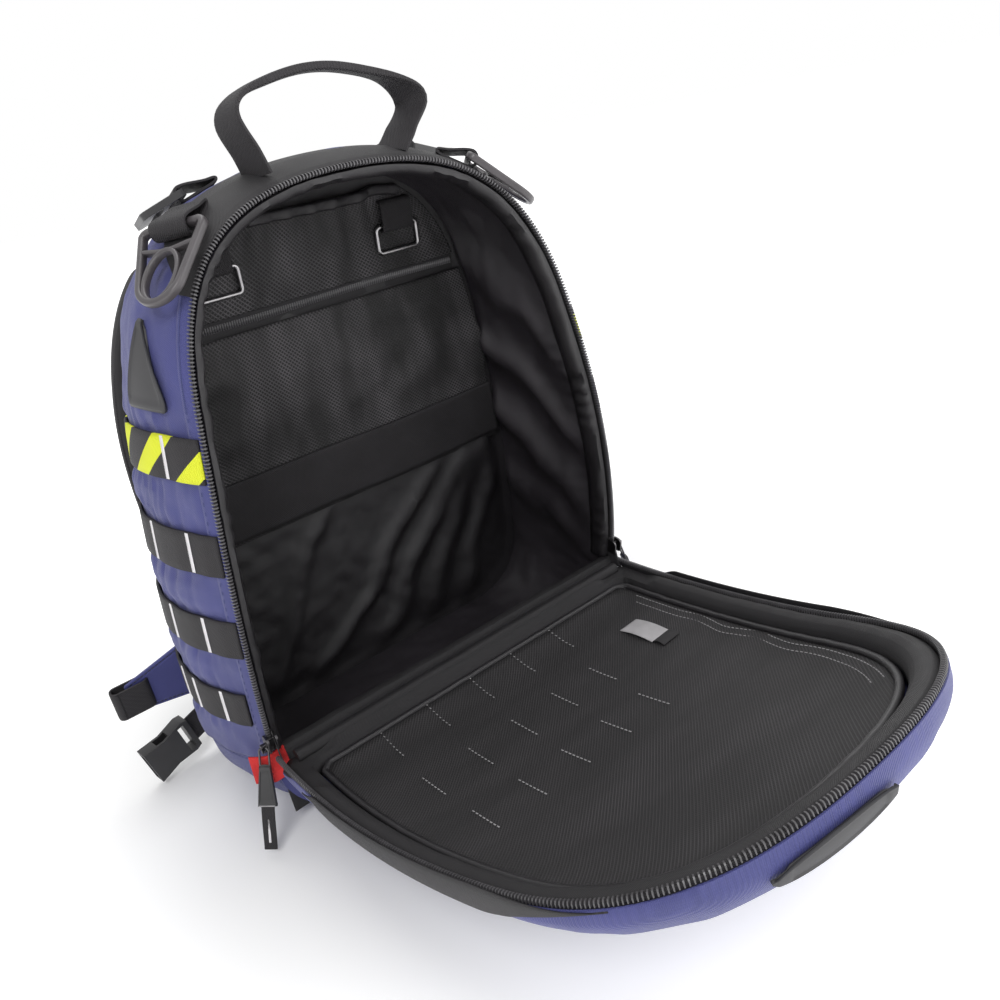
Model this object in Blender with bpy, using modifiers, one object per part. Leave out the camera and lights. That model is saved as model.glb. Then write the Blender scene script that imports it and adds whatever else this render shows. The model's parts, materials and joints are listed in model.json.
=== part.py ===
"""A clamshell trauma backpack, open: a wedge-shaped body, a front lid on a floor-side hinge, and its harness.

Metres, +Z up. The origin is the middle of the base's underside, the opening faces -Y and +X is its right.
"""

import math

import bmesh
import bpy
from mathutils import Matrix, Vector

# Opening: the rim that the zip runs round, measured from the hinge line up
HINGE_Z = 0.070
RIM_HEIGHT = 0.332
FOOT_HALF = 0.155
SHOULDER_HALF = 0.134
SHOULDER_RISE = 0.225
RIM_BOW = 0.020
LID_ANGLE = 76.0

# Body
DEPTH_FOOT = 0.150
DEPTH_TOP = 0.085
BASE_RADIUS = 0.055
SEAM_Z = 0.060
LEFT_BULGE = 0.018
RIGHT_BULGE = 0.004
TOP_BULGE = 0.008
WALL = 0.004
LINING = 0.001
LINING_PLAY = 0.0012
BACK_FOAM = 0.006
BACK_EDGE = 1.08
LINING_BACK = 0.0075
FIT = 0.0003

# Zip
ZIP_TAPE = 0.008
TAPE_THICK = 0.0012
BEAD_THICK = 0.0032
BEAD_DEPTH = 0.003
CHAIN_GAP = 0.0016
SLIDER_LONG = 0.012
SLIDER_WIDE = 0.0095
SLIDER_CORNER = 0.003
SLIDER_PLATE = 0.0015
SLIDER_PLAY = 0.0006
SLIDER_STOP = 0.010
LUG_DEEP = 0.004
LUG_WIDE = 0.0024
LUG_TALL = 0.0065
LUG_EYE = 0.0026
LUG_DROP = 0.0015
LINK_WIDE = 0.0074
LINK_LONG = 0.013
LINK_WIRE = 0.0016
GRIP_WIDE = 0.012
GRIP_FOOT = 0.042
TAIL_WIDE = 0.0084
PULL_LONG = 0.074
PULL_THICK = 0.0012
PULL_LEAN = 14.0
TAB_WIDE = 0.022
TAB_TALL = 0.020
TAB_THICK = 0.0012
TAB_CORNER = 0.002
TAB_FORWARD = 0.005

# Lid
LID_SIDE = 0.026
LID_FAR = 0.036
LID_DOME = 0.006
LID_HEM = 0.011
LID_ROLL = 0.034
LID_LEAN = 2.4
LID_CUT = 0.007
LID_WALL = 0.0035
LID_PLAY = 0.0008
LID_MESH = 0.0012
LID_FLOOR = 0.017
LID_FLOOR_INSET = 0.016
LID_LIP = 0.003
LID_MIDDLE = Vector((0, 0.150))
PIPING = 0.0075
BADGE_X = -0.033
BADGE_LONG = 0.070
BADGE_THICK = 0.002
BADGE_MIDDLE = math.radians(14)
BADGE_ROLL = math.radians(25)
BADGE_TIP = 0.12
LABEL_WIDE = 0.036
LABEL_TALL = 0.020
LABEL_THICK = 0.0008
LABEL_IN = 0.055
LABEL_RISE = 0.070
LABEL_CORNER = 0.001

# Webbing
WEB = 0.025
WEB_THICK = 0.0018
ROW_PITCH = 0.055
ROW_TOP = 0.282
SIDE_ROWS = 4
LID_ROWS = 3
LID_ROW_FIRST = 0.040
LID_ROW_HALF = 0.095
LID_ROW_SEAT = 0.0009
PATCH_TALL = 0.052
PATCH_WIDE = 0.046
PATCH_THICK = 0.002
PATCH_Z = 0.320
PATCH_V = 0.34
PATCH_TOP_SHARE = 0.12
SEAT = 0.0006
ROW_START_SHARE = 0.05
ROW_END_SHARE = 0.93

# Back wall inside
POCKET_FOOT = 0.168
POCKET_DROP = 0.0892
POCKET_THICK = 0.004
POCKET_ZIP = 0.014
BAND_FOOT = 0.172
BAND_TALL = 0.046
BAND_THICK = 0.0015
WALL_PLAY = 0.004
POCKET_CHAIN = 0.004
POCKET_BEAD = 0.0012
POCKET_SLIDER = 0.010
POCKET_PULL = 0.020
POCKET_PULL_WIDE = 0.005
POCKET_HOOK = 0.7
RING_HALF_SPAN = 0.069
RING_WIRE = 0.003
RING_WIDE = 0.033
RING_TALL = 0.020
RING_CORNER = 0.0035
RING_DROP = 0.0452
RING_TAB_TALL = 0.022
RING_TAB_THICK = 0.0085

# Carry handle and shoulder hardware
HANDLE_HALF = 0.045
HANDLE_BELLY = 0.015
HANDLE_RISE = 0.052
HANDLE_SINK = 0.0026
HANDLE_WEB = 0.025
HANDLE_THICK = 0.004
HANDLE_BACK = 0.19
DRING_WIDE = 0.046
DRING_LONG = 0.050
DRING_THICK = 0.005
DRING_BAR = 0.0055
DRING_FOOT = 0.0165
DRING_CORNER = 0.003
DRING_SLOT = 0.010
DRING_SLOT_WIDE = 0.034
DRING_OVAL_WIDE = 0.019
DRING_OVAL_TALL = 0.028
DRING_OVAL_DROP = 0.031
DRING_SIDE_WIDE = 0.005
DRING_SIDE_TALL = 0.013
DRING_SIDE_X = 0.0146
DRING_SIDE_DROP = 0.0225
DRING_SIDE_TURN = -11.0
DRING_TURN = 27.0
DRING_LIFT = -9.0
DRING_X = 0.087
DRING_V = 0.24
LIFTER_X = 0.064
LIFTER_V = 0.72
LOOP_SEAT = 0.0001
LOOP_LONG = 0.028
LOOP_TALL = 0.010
RING_LOOP_TALL = 0.012
LOCK_WIDE = 0.032
LOCK_LONG = 0.030
LOCK_THICK = 0.004
LOCK_BAR = 0.004
LOCK_SLOT = 0.007
SLOT_CORNER = 0.001
LOCK_PLAY = 0.0008

# Harness
PAD_THICK = 0.014
PAD_IN = 0.055
PAD_GAP = 0.024
PAD_FOOT = 0.060
PAD_TALL = 0.270
STRAP_WIDE = 0.058
STRAP_THICK = 0.012
STRAP_TOP = 0.365
STRAP_FOOT = 0.135
STRAP_HALF_TOP = 0.080
STRAP_IN = 0.029
STRAP_ARCH = 0.026
WING_LONG = 0.072
WING_TALL = 0.060
WING_THICK = 0.003
WING_Z = 0.052
WING_ROOT = 0.020
WING_TIP_Z = 0.078
LOCK_DROP = 0.006
HIP_Z = 0.034
HIP_OUT = 0.021
HIP_FORWARD = 0.006
HIP_DROP = 0.004
BUCKLE_LONG = 0.038
BUCKLE_WIDE = 0.033
BUCKLE_THICK = 0.010
BUCKLE_WALL = 0.0018
BUCKLE_BAR = 0.004
BUCKLE_SLOT = 0.005

# Smoothness of the lofts
SIDE_STEPS = 10
ARCH_STEPS = 10
DEPTH_STEPS = 7
CORNER_STEPS = 6
LID_RINGS = 5
LID_EDGE_STEPS = 5
BADGE_STEPS = 12
BADGE_RISE_STEPS = 4
ROW_STEPS = 8
PATCH_STEPS = 4
PAD_STEPS = 8
HANDLE_STEPS = 4
LOOP_STEPS = 4
DRING_STEPS = 8
DRING_OVAL_STEPS = 14
STRAP_STEPS = 9
SKIN_STEP = 1e-3

Y_RIM = -DEPTH_FOOT / 2
TOP_Z = HINGE_Z + RIM_HEIGHT
BACK_SLANT = math.atan2(DEPTH_FOOT - DEPTH_TOP, TOP_Z)
WALL_TOP = TOP_Z / math.cos(BACK_SLANT)
RING_Z = WALL_TOP - RING_DROP
POCKET_TOP = WALL_TOP - POCKET_DROP
STRAP_HALF_FOOT = FOOT_HALF - STRAP_IN
PAD_WIDE = FOOT_HALF - PAD_IN - PAD_GAP / 2
LABEL_X = FOOT_HALF - LABEL_IN

NAVY = ("navy_nylon", (0.040, 0.055, 0.190), 0.75, 0.0)
BLACK = ("black_nylon", (0.012, 0.012, 0.014), 0.55, 0.0)
MESH = ("black_mesh", (0.015, 0.015, 0.016), 0.80, 0.0)
WEBBING = ("black_webbing", (0.018, 0.018, 0.020), 0.70, 0.0)
HI_VIS = ("hi_vis_webbing", (0.60, 0.75, 0.05), 0.60, 0.0)
PLASTIC = ("dark_plastic", (0.020, 0.020, 0.022), 0.40, 0.0)
GREY_PLASTIC = ("grey_plastic", (0.080, 0.070, 0.075), 0.35, 0.0)
RUBBER = ("black_rubber", (0.025, 0.025, 0.027), 0.60, 0.0)
STEEL = ("dark_steel", (0.35, 0.34, 0.34), 0.35, 1.0)
RED = ("red_tab", (0.65, 0.03, 0.03), 0.65, 0.0)
PALE = ("care_label", (0.55, 0.55, 0.55), 0.75, 0.0)


def clear_scene():
    for old in list(bpy.data.objects):
        bpy.data.objects.remove(old, do_unlink=True)


def collection(name):
    made = bpy.data.collections.new(name)
    bpy.context.scene.collection.children.link(made)
    return made


clear_scene()
PARTS = collection("trauma_backpack")
CUTTERS = collection("cutters")


def paint(obj, spec):
    name, colour, roughness, metallic = spec
    made = bpy.data.materials.get(name)
    if made is None:
        made = bpy.data.materials.new(name)
        made.use_nodes = True
        shader = made.node_tree.nodes["Principled BSDF"]
        shader.inputs["Base Color"].default_value = (*colour, 1.0)
        shader.inputs["Roughness"].default_value = roughness
        shader.inputs["Metallic"].default_value = metallic
    obj.data.materials.append(made)


def empty(name, place, parent=None):
    made = bpy.data.objects.new(name, None)
    PARTS.objects.link(made)
    made.parent = parent
    made.matrix_local = place
    return made


def put(name, data, finish, parent=None, place=None):
    obj = bpy.data.objects.new(name, data)
    PARTS.objects.link(obj)
    paint(obj, finish)
    obj.parent = parent
    if place is not None:
        obj.matrix_local = place
    return obj


def new_mesh(name, bm):
    mesh = bpy.data.meshes.new(name)
    bm.to_mesh(mesh)
    bm.free()
    mesh.shade_smooth()
    mesh.set_sharp_from_angle(angle=math.radians(40))
    return mesh


def grid(rows, closed=False):
    """A bmesh of quads over rows of points; closed joins the last row to the first."""
    bm = bmesh.new()
    lines = [[bm.verts.new(point) for point in row] for row in rows]
    if closed:
        lines.append(lines[0])
    for near, far in zip(lines, lines[1:]):
        for i in range(len(near) - 1):
            bm.faces.new((near[i], near[i + 1], far[i + 1], far[i]))
    return bm


def dish(rings):
    """A bmesh of quads between closed rings, the last ring filled with one face."""
    bm = bmesh.new()
    lines = [[bm.verts.new(point) for point in ring] for ring in rings]
    for near, far in zip(lines, lines[1:]):
        for i in range(len(near)):
            bm.faces.new((near[i - 1], near[i], far[i], far[i - 1]))
    bm.faces.new(lines[-1])
    return bm


def face_away(bm, middle):
    """Turns the faces so that they look away from a middle point."""
    bm.normal_update()
    looks = sum((f.calc_center_median() - middle).dot(f.normal) * f.calc_area() for f in bm.faces)
    if looks < 0:
        bmesh.ops.reverse_faces(bm, faces=bm.faces)
    bm.normal_update()


def shell(name, bm, middle, thickness, finish, parent=None, place=None, inset=0.0):
    """An open surface, sunk by inset and thickened inwards with Solidify."""
    face_away(bm, middle)
    if inset:
        moves = [(vert, vert.normal.copy()) for vert in bm.verts]
        for vert, normal in moves:
            vert.co -= normal * inset
    obj = put(name, new_mesh(name, bm), finish, parent, place)
    solid = obj.modifiers.new("thickness", "SOLIDIFY")
    solid.thickness = thickness
    solid.offset = -1
    solid.use_even_offset = False
    return obj


def loft(name, sections, finish, parent=None, place=None, closed=False):
    """A solid through closed profiles of equal point count, with end caps unless it closes on itself."""
    bm = bmesh.new()
    rings = [[bm.verts.new(point) for point in section] for section in sections]
    ends = rings[0], rings[-1]
    if closed:
        rings.append(rings[0])
    for near, far in zip(rings, rings[1:]):
        for i in range(len(near)):
            j = (i + 1) % len(near)
            bm.faces.new((near[i], near[j], far[j], far[i]))
    if not closed:
        bm.faces.new(ends[0])
        bm.faces.new(ends[1])
    bmesh.ops.recalc_face_normals(bm, faces=bm.faces)
    return put(name, new_mesh(name, bm), finish, parent, place)


def ribbon(name, path, across, width, thickness, finish, parent=None, place=None):
    """Webbing along a path: across gives the width direction, one vector or one for each point."""
    many = isinstance(across, list)
    sections = []
    for i, point in enumerate(path):
        ahead = path[min(i + 1, len(path) - 1)] - path[max(i - 1, 0)]
        side = (across[i] if many else across).normalized()
        lift = ahead.cross(side).normalized() * thickness / 2
        side = lift.cross(ahead).normalized() * width / 2
        sections.append([point + side + lift, point - side + lift, point - side - lift, point + side - lift])
    return loft(name, sections, finish, parent, place)


def arc(centre, radius, start, end, steps):
    points = []
    for i in range(steps + 1):
        angle = math.radians(start + (end - start) * i / steps)
        points.append((centre[0] + radius * math.cos(angle), centre[1] + radius * math.sin(angle)))
    return points


def round_box(wide, tall, radius, centre=(0.0, 0.0), steps=3):
    """A rectangle with round corners, as 2D points."""
    cx, cy = centre
    dx, dy = wide / 2 - radius, tall / 2 - radius
    points = []
    for sx, sy, start in ((1, 1, 0), (-1, 1, 90), (-1, -1, 180), (1, -1, 270)):
        points += arc((cx + sx * dx, cy + sy * dy), radius, start, start + 90, steps)
    return points


def plate(name, outlines, thickness, finish, parent=None, place=None):
    """A flat outline with its holes, extruded half each way from the local XY plane."""
    curve = bpy.data.curves.new(name, "CURVE")
    curve.dimensions = "2D"
    curve.fill_mode = "BOTH"
    curve.extrude = thickness / 2
    for outline in outlines:
        spline = curve.splines.new("POLY")
        spline.points.add(len(outline) - 1)
        spline.use_cyclic_u = True
        for target, (x, y) in zip(spline.points, outline):
            target.co = (x, y, 0, 1)
    return put(name, curve, finish, parent, place)


def wire(name, path, radius, finish, parent=None, place=None, cyclic=True):
    curve = bpy.data.curves.new(name, "CURVE")
    curve.dimensions = "3D"
    curve.bevel_depth = radius
    curve.bevel_resolution = 1
    curve.use_fill_caps = not cyclic
    spline = curve.splines.new("POLY")
    spline.points.add(len(path) - 1)
    spline.use_cyclic_u = cyclic
    for target, point in zip(spline.points, path):
        target.co = (*point, 1)
    return put(name, curve, finish, parent, place)


def solid_mesh(obj):
    """Turns a curve piece into a mesh with welded caps, so that a Boolean can cut or join it."""
    graph = bpy.context.evaluated_depsgraph_get()
    mesh = bpy.data.meshes.new_from_object(obj.evaluated_get(graph))
    bm = bmesh.new()
    bm.from_mesh(mesh)
    bmesh.ops.remove_doubles(bm, verts=bm.verts, dist=1e-6)
    bm.to_mesh(mesh)
    bm.free()
    name, parent, place = obj.name, obj.parent, obj.matrix_local.copy()
    bpy.data.objects.remove(obj, do_unlink=True)
    made = bpy.data.objects.new(name, mesh)
    PARTS.objects.link(made)
    made.parent = parent
    made.matrix_local = place
    return made


def boolean(obj, tool, operation):
    """Cuts a tool from a piece or joins it on; the tool moves to the cutters."""
    if tool.name in PARTS.objects:
        PARTS.objects.unlink(tool)
        CUTTERS.objects.link(tool)
    tool.hide_render = True
    tool.display_type = "WIRE"
    step = obj.modifiers.new(operation.lower(), "BOOLEAN")
    step.operation = operation
    step.object = tool


def block(name, size, centre, parent=None):
    """A box, as a tool for a Boolean."""
    bm = bmesh.new()
    bmesh.ops.create_cube(bm, size=1.0, matrix=Matrix.Translation(centre) @ Matrix.Diagonal((*size, 1.0)))
    mesh = bpy.data.meshes.new(name)
    bm.to_mesh(mesh)
    bm.free()
    obj = bpy.data.objects.new(name, mesh)
    PARTS.objects.link(obj)
    obj.parent = parent
    return obj


# Rim outline and skin of the body


def cubic(a, b, c, d, t):
    u = 1 - t
    return a * u**3 + b * 3 * u * u * t + c * 3 * u * t * t + d * t**3


def half_rim(q):
    """(half width, rise) of the rim: q is 0 at the hinge corner, 0.5 at the shoulder and 1 at the crown."""
    foot, crown = Vector((FOOT_HALF, 0)), Vector((0, RIM_HEIGHT))
    shoulder = Vector((SHOULDER_HALF, SHOULDER_RISE))
    lean = Vector((SHOULDER_HALF - FOOT_HALF, SHOULDER_RISE)) * 0.31
    lean.x *= 1.9
    if q <= 0.5:
        return cubic(foot, foot + Vector((0, 0.40 * SHOULDER_RISE)), shoulder - lean, shoulder, 2 * q)
    span = RIM_HEIGHT - SHOULDER_RISE
    out = shoulder + lean * (0.70 * span / lean.y)
    return cubic(shoulder, out, crown + Vector((0.63 * SHOULDER_HALF, 0)), crown, 2 * q - 1)


def q_at(test):
    """The place on the half rim where a falling test changes sign, by halving."""
    low, high = 0.0, 1.0
    for _ in range(40):
        middle = (low + high) / 2
        if test(half_rim(middle)) > 0:
            low = middle
        else:
            high = middle
    return (low + high) / 2


def q_at_z(z):
    return q_at(lambda point: z - HINGE_Z - point.y)


def q_at_x(x):
    return q_at(lambda point: point.x - abs(x))


def half_width(z):
    if z <= HINGE_Z:
        return FOOT_HALF
    return half_rim(q_at_z(z)).x


def bow(rise):
    """How far the rim stands forward of a straight line from hinge to crown."""
    t = min(max(rise / RIM_HEIGHT, 0.0), 1.0)
    return RIM_BOW * 4 * t * (1 - t)


def back_y(z):
    return Y_RIM + DEPTH_FOOT - (DEPTH_FOOT - DEPTH_TOP) * z / TOP_Z


def body_point(x, z, v):
    """The body's outer skin for an outline point, v from the front edge, 0, to the back edge, 1."""
    rise = z - HINGE_Z
    front = Y_RIM + ZIP_TAPE - bow(rise)
    swell = 4 * v * (1 - v)
    lift = TOP_BULGE * swell * max(rise / RIM_HEIGHT, 0.0)
    bulge = LEFT_BULGE if x < 0 else RIGHT_BULGE
    wide = x * (1 + bulge / FOOT_HALF * swell)
    return Vector((wide, front + (back_y(z) - front) * v, z + lift))


def skin(side, q, v, out=0.0):
    """A point on the body's skin, or that far outside it."""

    def at(place, depth):
        x, rise = half_rim(place)
        return body_point(side * x, HINGE_Z + rise, depth)

    low, high = max(q - SKIN_STEP, 0.0), min(q + SKIN_STEP, 1.0)
    normal = (at(high, v) - at(low, v)).cross(at(q, v + SKIN_STEP) - at(q, v - SKIN_STEP)).normalized()
    point = at(q, v)
    if normal.dot(point - Vector((0, point.y, HINGE_Z + RIM_HEIGHT / 3))) < 0:
        normal = -normal
    return point + normal * out


def arch_outline():
    """Outline points from the left hinge corner over the crown to the right one, as (x, rise)."""
    places = [0.5 * i / SIDE_STEPS for i in range(SIDE_STEPS)]
    places += [0.5 + 0.5 * i / ARCH_STEPS for i in range(ARCH_STEPS + 1)]
    half = [half_rim(q) for q in places]
    return [(-p.x, p.y) for p in half] + [(p.x, p.y) for p in half[-2::-1]]


def base_outline():
    """Outline points of the base from the left seam round the corners to the right one, as (x, z)."""
    middle = FOOT_HALF - BASE_RADIUS
    left = arc((-middle, BASE_RADIUS), BASE_RADIUS, 180, 270, CORNER_STEPS)
    right = arc((middle, BASE_RADIUS), BASE_RADIUS, 270, 360, CORNER_STEPS)
    return [(-FOOT_HALF, SEAM_Z)] + left + right + [(FOOT_HALF, SEAM_Z)]


def depth_rows(outline):
    return [[body_point(x, z, i / DEPTH_STEPS) for x, z in outline] for i in range(DEPTH_STEPS + 1)]


def inset_loop(points, distance):
    """A closed 2D outline, anticlockwise, moved inwards."""
    moved = []
    for i, point in enumerate(points):
        ahead = Vector(points[(i + 1) % len(points)]) - Vector(points[i - 1])
        inwards = Vector((-ahead.y, ahead.x)).normalized()
        moved.append(tuple(Vector(point) + inwards * distance))
    return moved


BODY_MIDDLE = Vector((0, 0, HINGE_Z + RIM_HEIGHT / 3))
ARCH_XZ = [(x, HINGE_Z + rise) for x, rise in arch_outline()]


def build_body():
    seam = SEAM_Z + FIT
    outline = [(-FOOT_HALF, seam)] + ARCH_XZ + [(FOOT_HALF, seam)]
    shell("side_gusset", grid(depth_rows(outline)), BODY_MIDDLE, WALL, NAVY)
    shell("base_panel", grid(depth_rows(base_outline())), BODY_MIDDLE, WALL, NAVY)
    ring = ARCH_XZ[::-1] + base_outline()
    rows = []
    for x, z in ring:
        end = 1 - LINING_BACK / (body_point(x, z, 1.0).y - body_point(x, z, 0.0).y)
        rows.append([body_point(x, z, end * i / DEPTH_STEPS) for i in range(DEPTH_STEPS + 1)])
    shell("body_lining", grid(rows, closed=True), BODY_MIDDLE, LINING, BLACK, inset=WALL + LINING_PLAY)

    loop = base_outline() + ARCH_XZ[::-1]
    low = len(base_outline())
    floor = WALL + FIT + BACK_FOAM * math.sin(BACK_SLANT)
    back = inset_loop(loop, floor)[:low] + inset_loop(loop, WALL * BACK_EDGE)[low:]
    back = [(x, max(z, floor) / math.cos(BACK_SLANT)) for x, z in back]
    to_wall = Matrix.Translation((0, -BACK_FOAM / 2, 0)) @ Matrix.Rotation(math.pi / 2, 4, "X")
    plate("back_panel", [back], BACK_FOAM, BLACK, BACK, to_wall)

    sill_thick = ZIP_TAPE - FIT - CHAIN_GAP
    sill_top = HINGE_Z - CHAIN_GAP
    sill = base_outline() + [(FOOT_HALF, sill_top), (-FOOT_HALF, sill_top)]
    to_front = Matrix.Translation((0, Y_RIM + CHAIN_GAP + sill_thick / 2, 0))
    plate("front_sill", [sill], sill_thick, NAVY, None, to_front @ Matrix.Rotation(math.pi / 2, 4, "X"))


def zip_half(name, way, parent, place):
    """One half of the main zip, way +1 behind the rim plane, -1 in front: a tape with its chain bead."""
    points = [Vector(p) for p in arch_outline()]
    points[0].y = points[-1].y = CHAIN_GAP
    bead, tape = BEAD_THICK / 2, TAPE_THICK / 2
    near, step, far = CHAIN_GAP / 2, CHAIN_GAP / 2 + BEAD_DEPTH, ZIP_TAPE - FIT
    profile = [(-tape, far), (tape, far), (tape, step), (bead, step), (bead, near)]
    profile += [(-bead, near), (-bead, step), (-tape, step)]
    sections = []
    for i, point in enumerate(points):
        ahead = points[min(i + 1, len(points) - 1)] - points[max(i - 1, 0)]
        out = Vector((-ahead.y, ahead.x)).normalized()
        centre = point - out * WALL / 2
        section = []
        for along, depth in profile:
            flat = centre + out * along
            section.append(Vector((flat.x, way * depth - bow(point.y), flat.y)))
        sections.append(section)
    return loft(name, sections, BLACK, parent, place)


def build_zip():
    zip_half("body_zip", 1, None, Matrix.Translation((0, Y_RIM, HINGE_Z)))
    for label, side in (("left", -1), ("right", 1)):
        slider_and_pull(label, side)


def slider_and_pull(label, side):
    """A slider of two plates and a web between the halves, and a pull that swings on its lug."""
    x = side * (half_width(HINGE_Z + SLIDER_STOP) - WALL / 2)
    y = Y_RIM - bow(SLIDER_STOP)
    lean = math.atan2(bow(SLIDER_STOP + SLIDER_LONG) - bow(SLIDER_STOP - SLIDER_LONG), 2 * SLIDER_LONG)
    stop = Matrix.Translation((x, y, HINGE_Z + SLIDER_STOP)) @ Matrix.Rotation(lean, 4, "X")
    seat = empty(f"slider_seat_{label}", stop)
    outside = BEAD_THICK / 2 + SLIDER_PLAY
    body = round_box(SLIDER_WIDE, SLIDER_LONG, SLIDER_CORNER)
    stand = Matrix.Rotation(math.pi / 2, 4, "Y") @ Matrix.Rotation(math.pi / 2, 4, "Z")
    centre = side * (outside + SLIDER_PLATE / 2)
    ahead = Matrix.Translation((centre, 0, 0)) @ stand
    slider = solid_mesh(plate(f"zip_slider_{label}", [body], SLIDER_PLATE, STEEL, seat, ahead))
    behind = Matrix.Translation((-centre, 0, 0)) @ stand
    inner = plate("inner_plate", [body], SLIDER_PLATE, STEEL, seat, behind)
    boolean(slider, solid_mesh(inner), "UNION")
    web = CHAIN_GAP / 2
    reach = 2 * outside + SLIDER_PLATE
    boolean(slider, block("web", (reach, web, SLIDER_LONG * 0.6), (0, 0, 0), seat), "UNION")
    proud = outside + SLIDER_PLATE
    lug_size = (LUG_DEEP, LUG_WIDE, LUG_TALL)
    lug = block("lug", lug_size, (side * (proud + LUG_DEEP / 2 - FIT), 0, -LUG_DROP), seat)
    boolean(slider, lug, "UNION")
    eye = side * (proud + LUG_DEEP / 2)
    boolean(slider, block("eye", (LUG_EYE, LUG_TALL * 2, LUG_EYE), (eye, 0, -LUG_DROP), seat), "DIFFERENCE")
    paint(slider, STEEL)

    plumb = Matrix.Rotation(-lean, 4, "X") @ Matrix.Rotation(math.radians(side * -PULL_LEAN), 4, "Y")
    hang = empty(f"pull_pivot_{label}", Matrix.Translation((eye, 0, -LUG_DROP)) @ plumb, seat)
    link, half, tail = LINK_WIDE / 2, GRIP_WIDE / 2, TAIL_WIDE / 2
    slope, bar = (GRIP_WIDE - TAIL_WIDE) / 2, PULL_THICK / 2
    right = [(link, bar), (link, -LINK_LONG), (half, -LINK_LONG - slope), (half, -GRIP_FOOT)]
    right += [(tail, -GRIP_FOOT - slope), (tail, -PULL_LONG)]
    outline = right + [(-x, z) for x, z in right[::-1]]
    free = link - LINK_WIRE
    window = [(-free, -bar), (free, -bar), (free, LINK_WIRE - LINK_LONG), (-free, LINK_WIRE - LINK_LONG)]
    upright = Matrix.Rotation(math.pi / 2, 4, "Z") @ Matrix.Rotation(math.pi / 2, 4, "X")
    plate(f"zip_pull_{label}", [outline, window], PULL_THICK, PLASTIC, hang, upright)


def build_zip_tab():
    """The red tab sewn under the left end of the zip."""
    x = -FOOT_HALF - SEAT - TAB_THICK / 2
    place = Matrix.Translation((x, Y_RIM - TAB_FORWARD, HINGE_Z - TAB_TALL / 2))
    place = place @ Matrix.Rotation(math.pi / 2, 4, "Y") @ Matrix.Rotation(math.pi / 2, 4, "Z")
    plate("zip_tab", [round_box(TAB_WIDE, TAB_TALL, TAB_CORNER)], TAB_THICK, RED, None, place)


# Lid, drawn closed about its hinge and then laid open


def lid_outline():
    """The lid's outline, closed: the hinge edge with its corners cut, and the arch, as (x, rise)."""
    edge = CHAIN_GAP + FIT
    arch = arch_outline()
    arch[0] = (-FOOT_HALF, edge + LID_CUT)
    arch[-1] = (FOOT_HALF, edge + LID_CUT)
    return arch[::-1] + [(-FOOT_HALF + LID_CUT, edge), (FOOT_HALF - LID_CUT, edge)]


def lid_inset(distance):
    """The shrink that moves the lid's outline in by about this distance."""
    return 1 - distance / LID_MIDDLE.y


def lid_skin(edge, shrink, out=0.0):
    """The lid's skin over an outline point moved inwards: a roll, leaner at the sides, and a domed face."""
    flat = LID_MIDDLE + (edge - LID_MIDDLE) * shrink
    full = min(max(edge.y / RIM_HEIGHT, 0.0), 1.0) ** 3
    deep = LID_SIDE + (LID_FAR - LID_SIDE) * full
    roll = (1 - shrink) * LID_MIDDLE.y / LID_ROLL
    if roll <= 1:
        lean_edge, round_edge = 1 - (1 - roll) ** LID_LEAN, math.sqrt(1 - (1 - roll) ** 2)
        deep = LID_HEM + (deep - LID_HEM) * (lean_edge + (round_edge - lean_edge) * full)
    else:
        share = shrink / lid_inset(LID_ROLL)
        deep = LID_SIDE + (deep - LID_SIDE) * share + LID_DOME * (1 - share**2)
    return Vector((flat.x, -bow(flat.y) - deep - out, flat.y))


def lid_loop(inset, depth):
    """A loop inside the lid: its outline moved in by about the inset, at one depth below the rim."""
    flat = [LID_MIDDLE + (Vector(p) - LID_MIDDLE) * lid_inset(inset) for p in lid_outline()]
    return [Vector((p.x, -bow(p.y) - depth, p.y)) for p in flat]


def lid_face(x, rise, out):
    """A point that far in front of the lid's face, found by the ring that it lies on."""
    line = Vector((x, rise)) - LID_MIDDLE
    outline = [Vector(p) - LID_MIDDLE for p in lid_outline()]
    shrink = 1e-6
    for a, b in zip(outline, outline[1:] + outline[:1]):
        normal = Vector((b.y - a.y, a.x - b.x))
        shrink = max(shrink, line.dot(normal) / a.dot(normal))
    return lid_skin(LID_MIDDLE + line / shrink, shrink, out)


def build_lid():
    shrinks = []
    for i in range(LID_EDGE_STEPS + 1):
        shrinks.append(lid_inset(LID_ROLL * (1 - math.cos(math.pi / 2 * i / LID_EDGE_STEPS))))
    shrinks += [lid_inset(LID_ROLL) * (1 - i / LID_RINGS) for i in range(1, LID_RINGS)]
    rings = [lid_loop(0.0, ZIP_TAPE)]
    rings += [[lid_skin(Vector(p), shrink) for p in lid_outline()] for shrink in shrinks]
    inside = Vector((0, 0, LID_MIDDLE.y))
    shell("lid_shell", dish(rings), inside, LID_WALL, NAVY, LID)
    zip_half("lid_zip", -1, LID, Matrix.Identity(4))

    clear = LID_WALL + LID_PLAY
    rings = [lid_loop(clear, ZIP_TAPE + FIT), lid_loop(clear + LID_LIP, LID_HEM)]
    for i in range(LID_RINGS):
        rings.append(lid_loop(LID_FLOOR_INSET + (LID_MIDDLE.y - LID_FLOOR_INSET) * i / LID_RINGS, LID_FLOOR))
    shell("lid_lining", dish(rings), inside, LID_MESH, MESH, LID)
    roll = lid_loop(clear + LID_MESH + LID_LIP + PIPING / 2, ZIP_TAPE)
    wire("lid_binding", roll, PIPING / 2, BLACK, LID)
    build_lid_trim()


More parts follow.
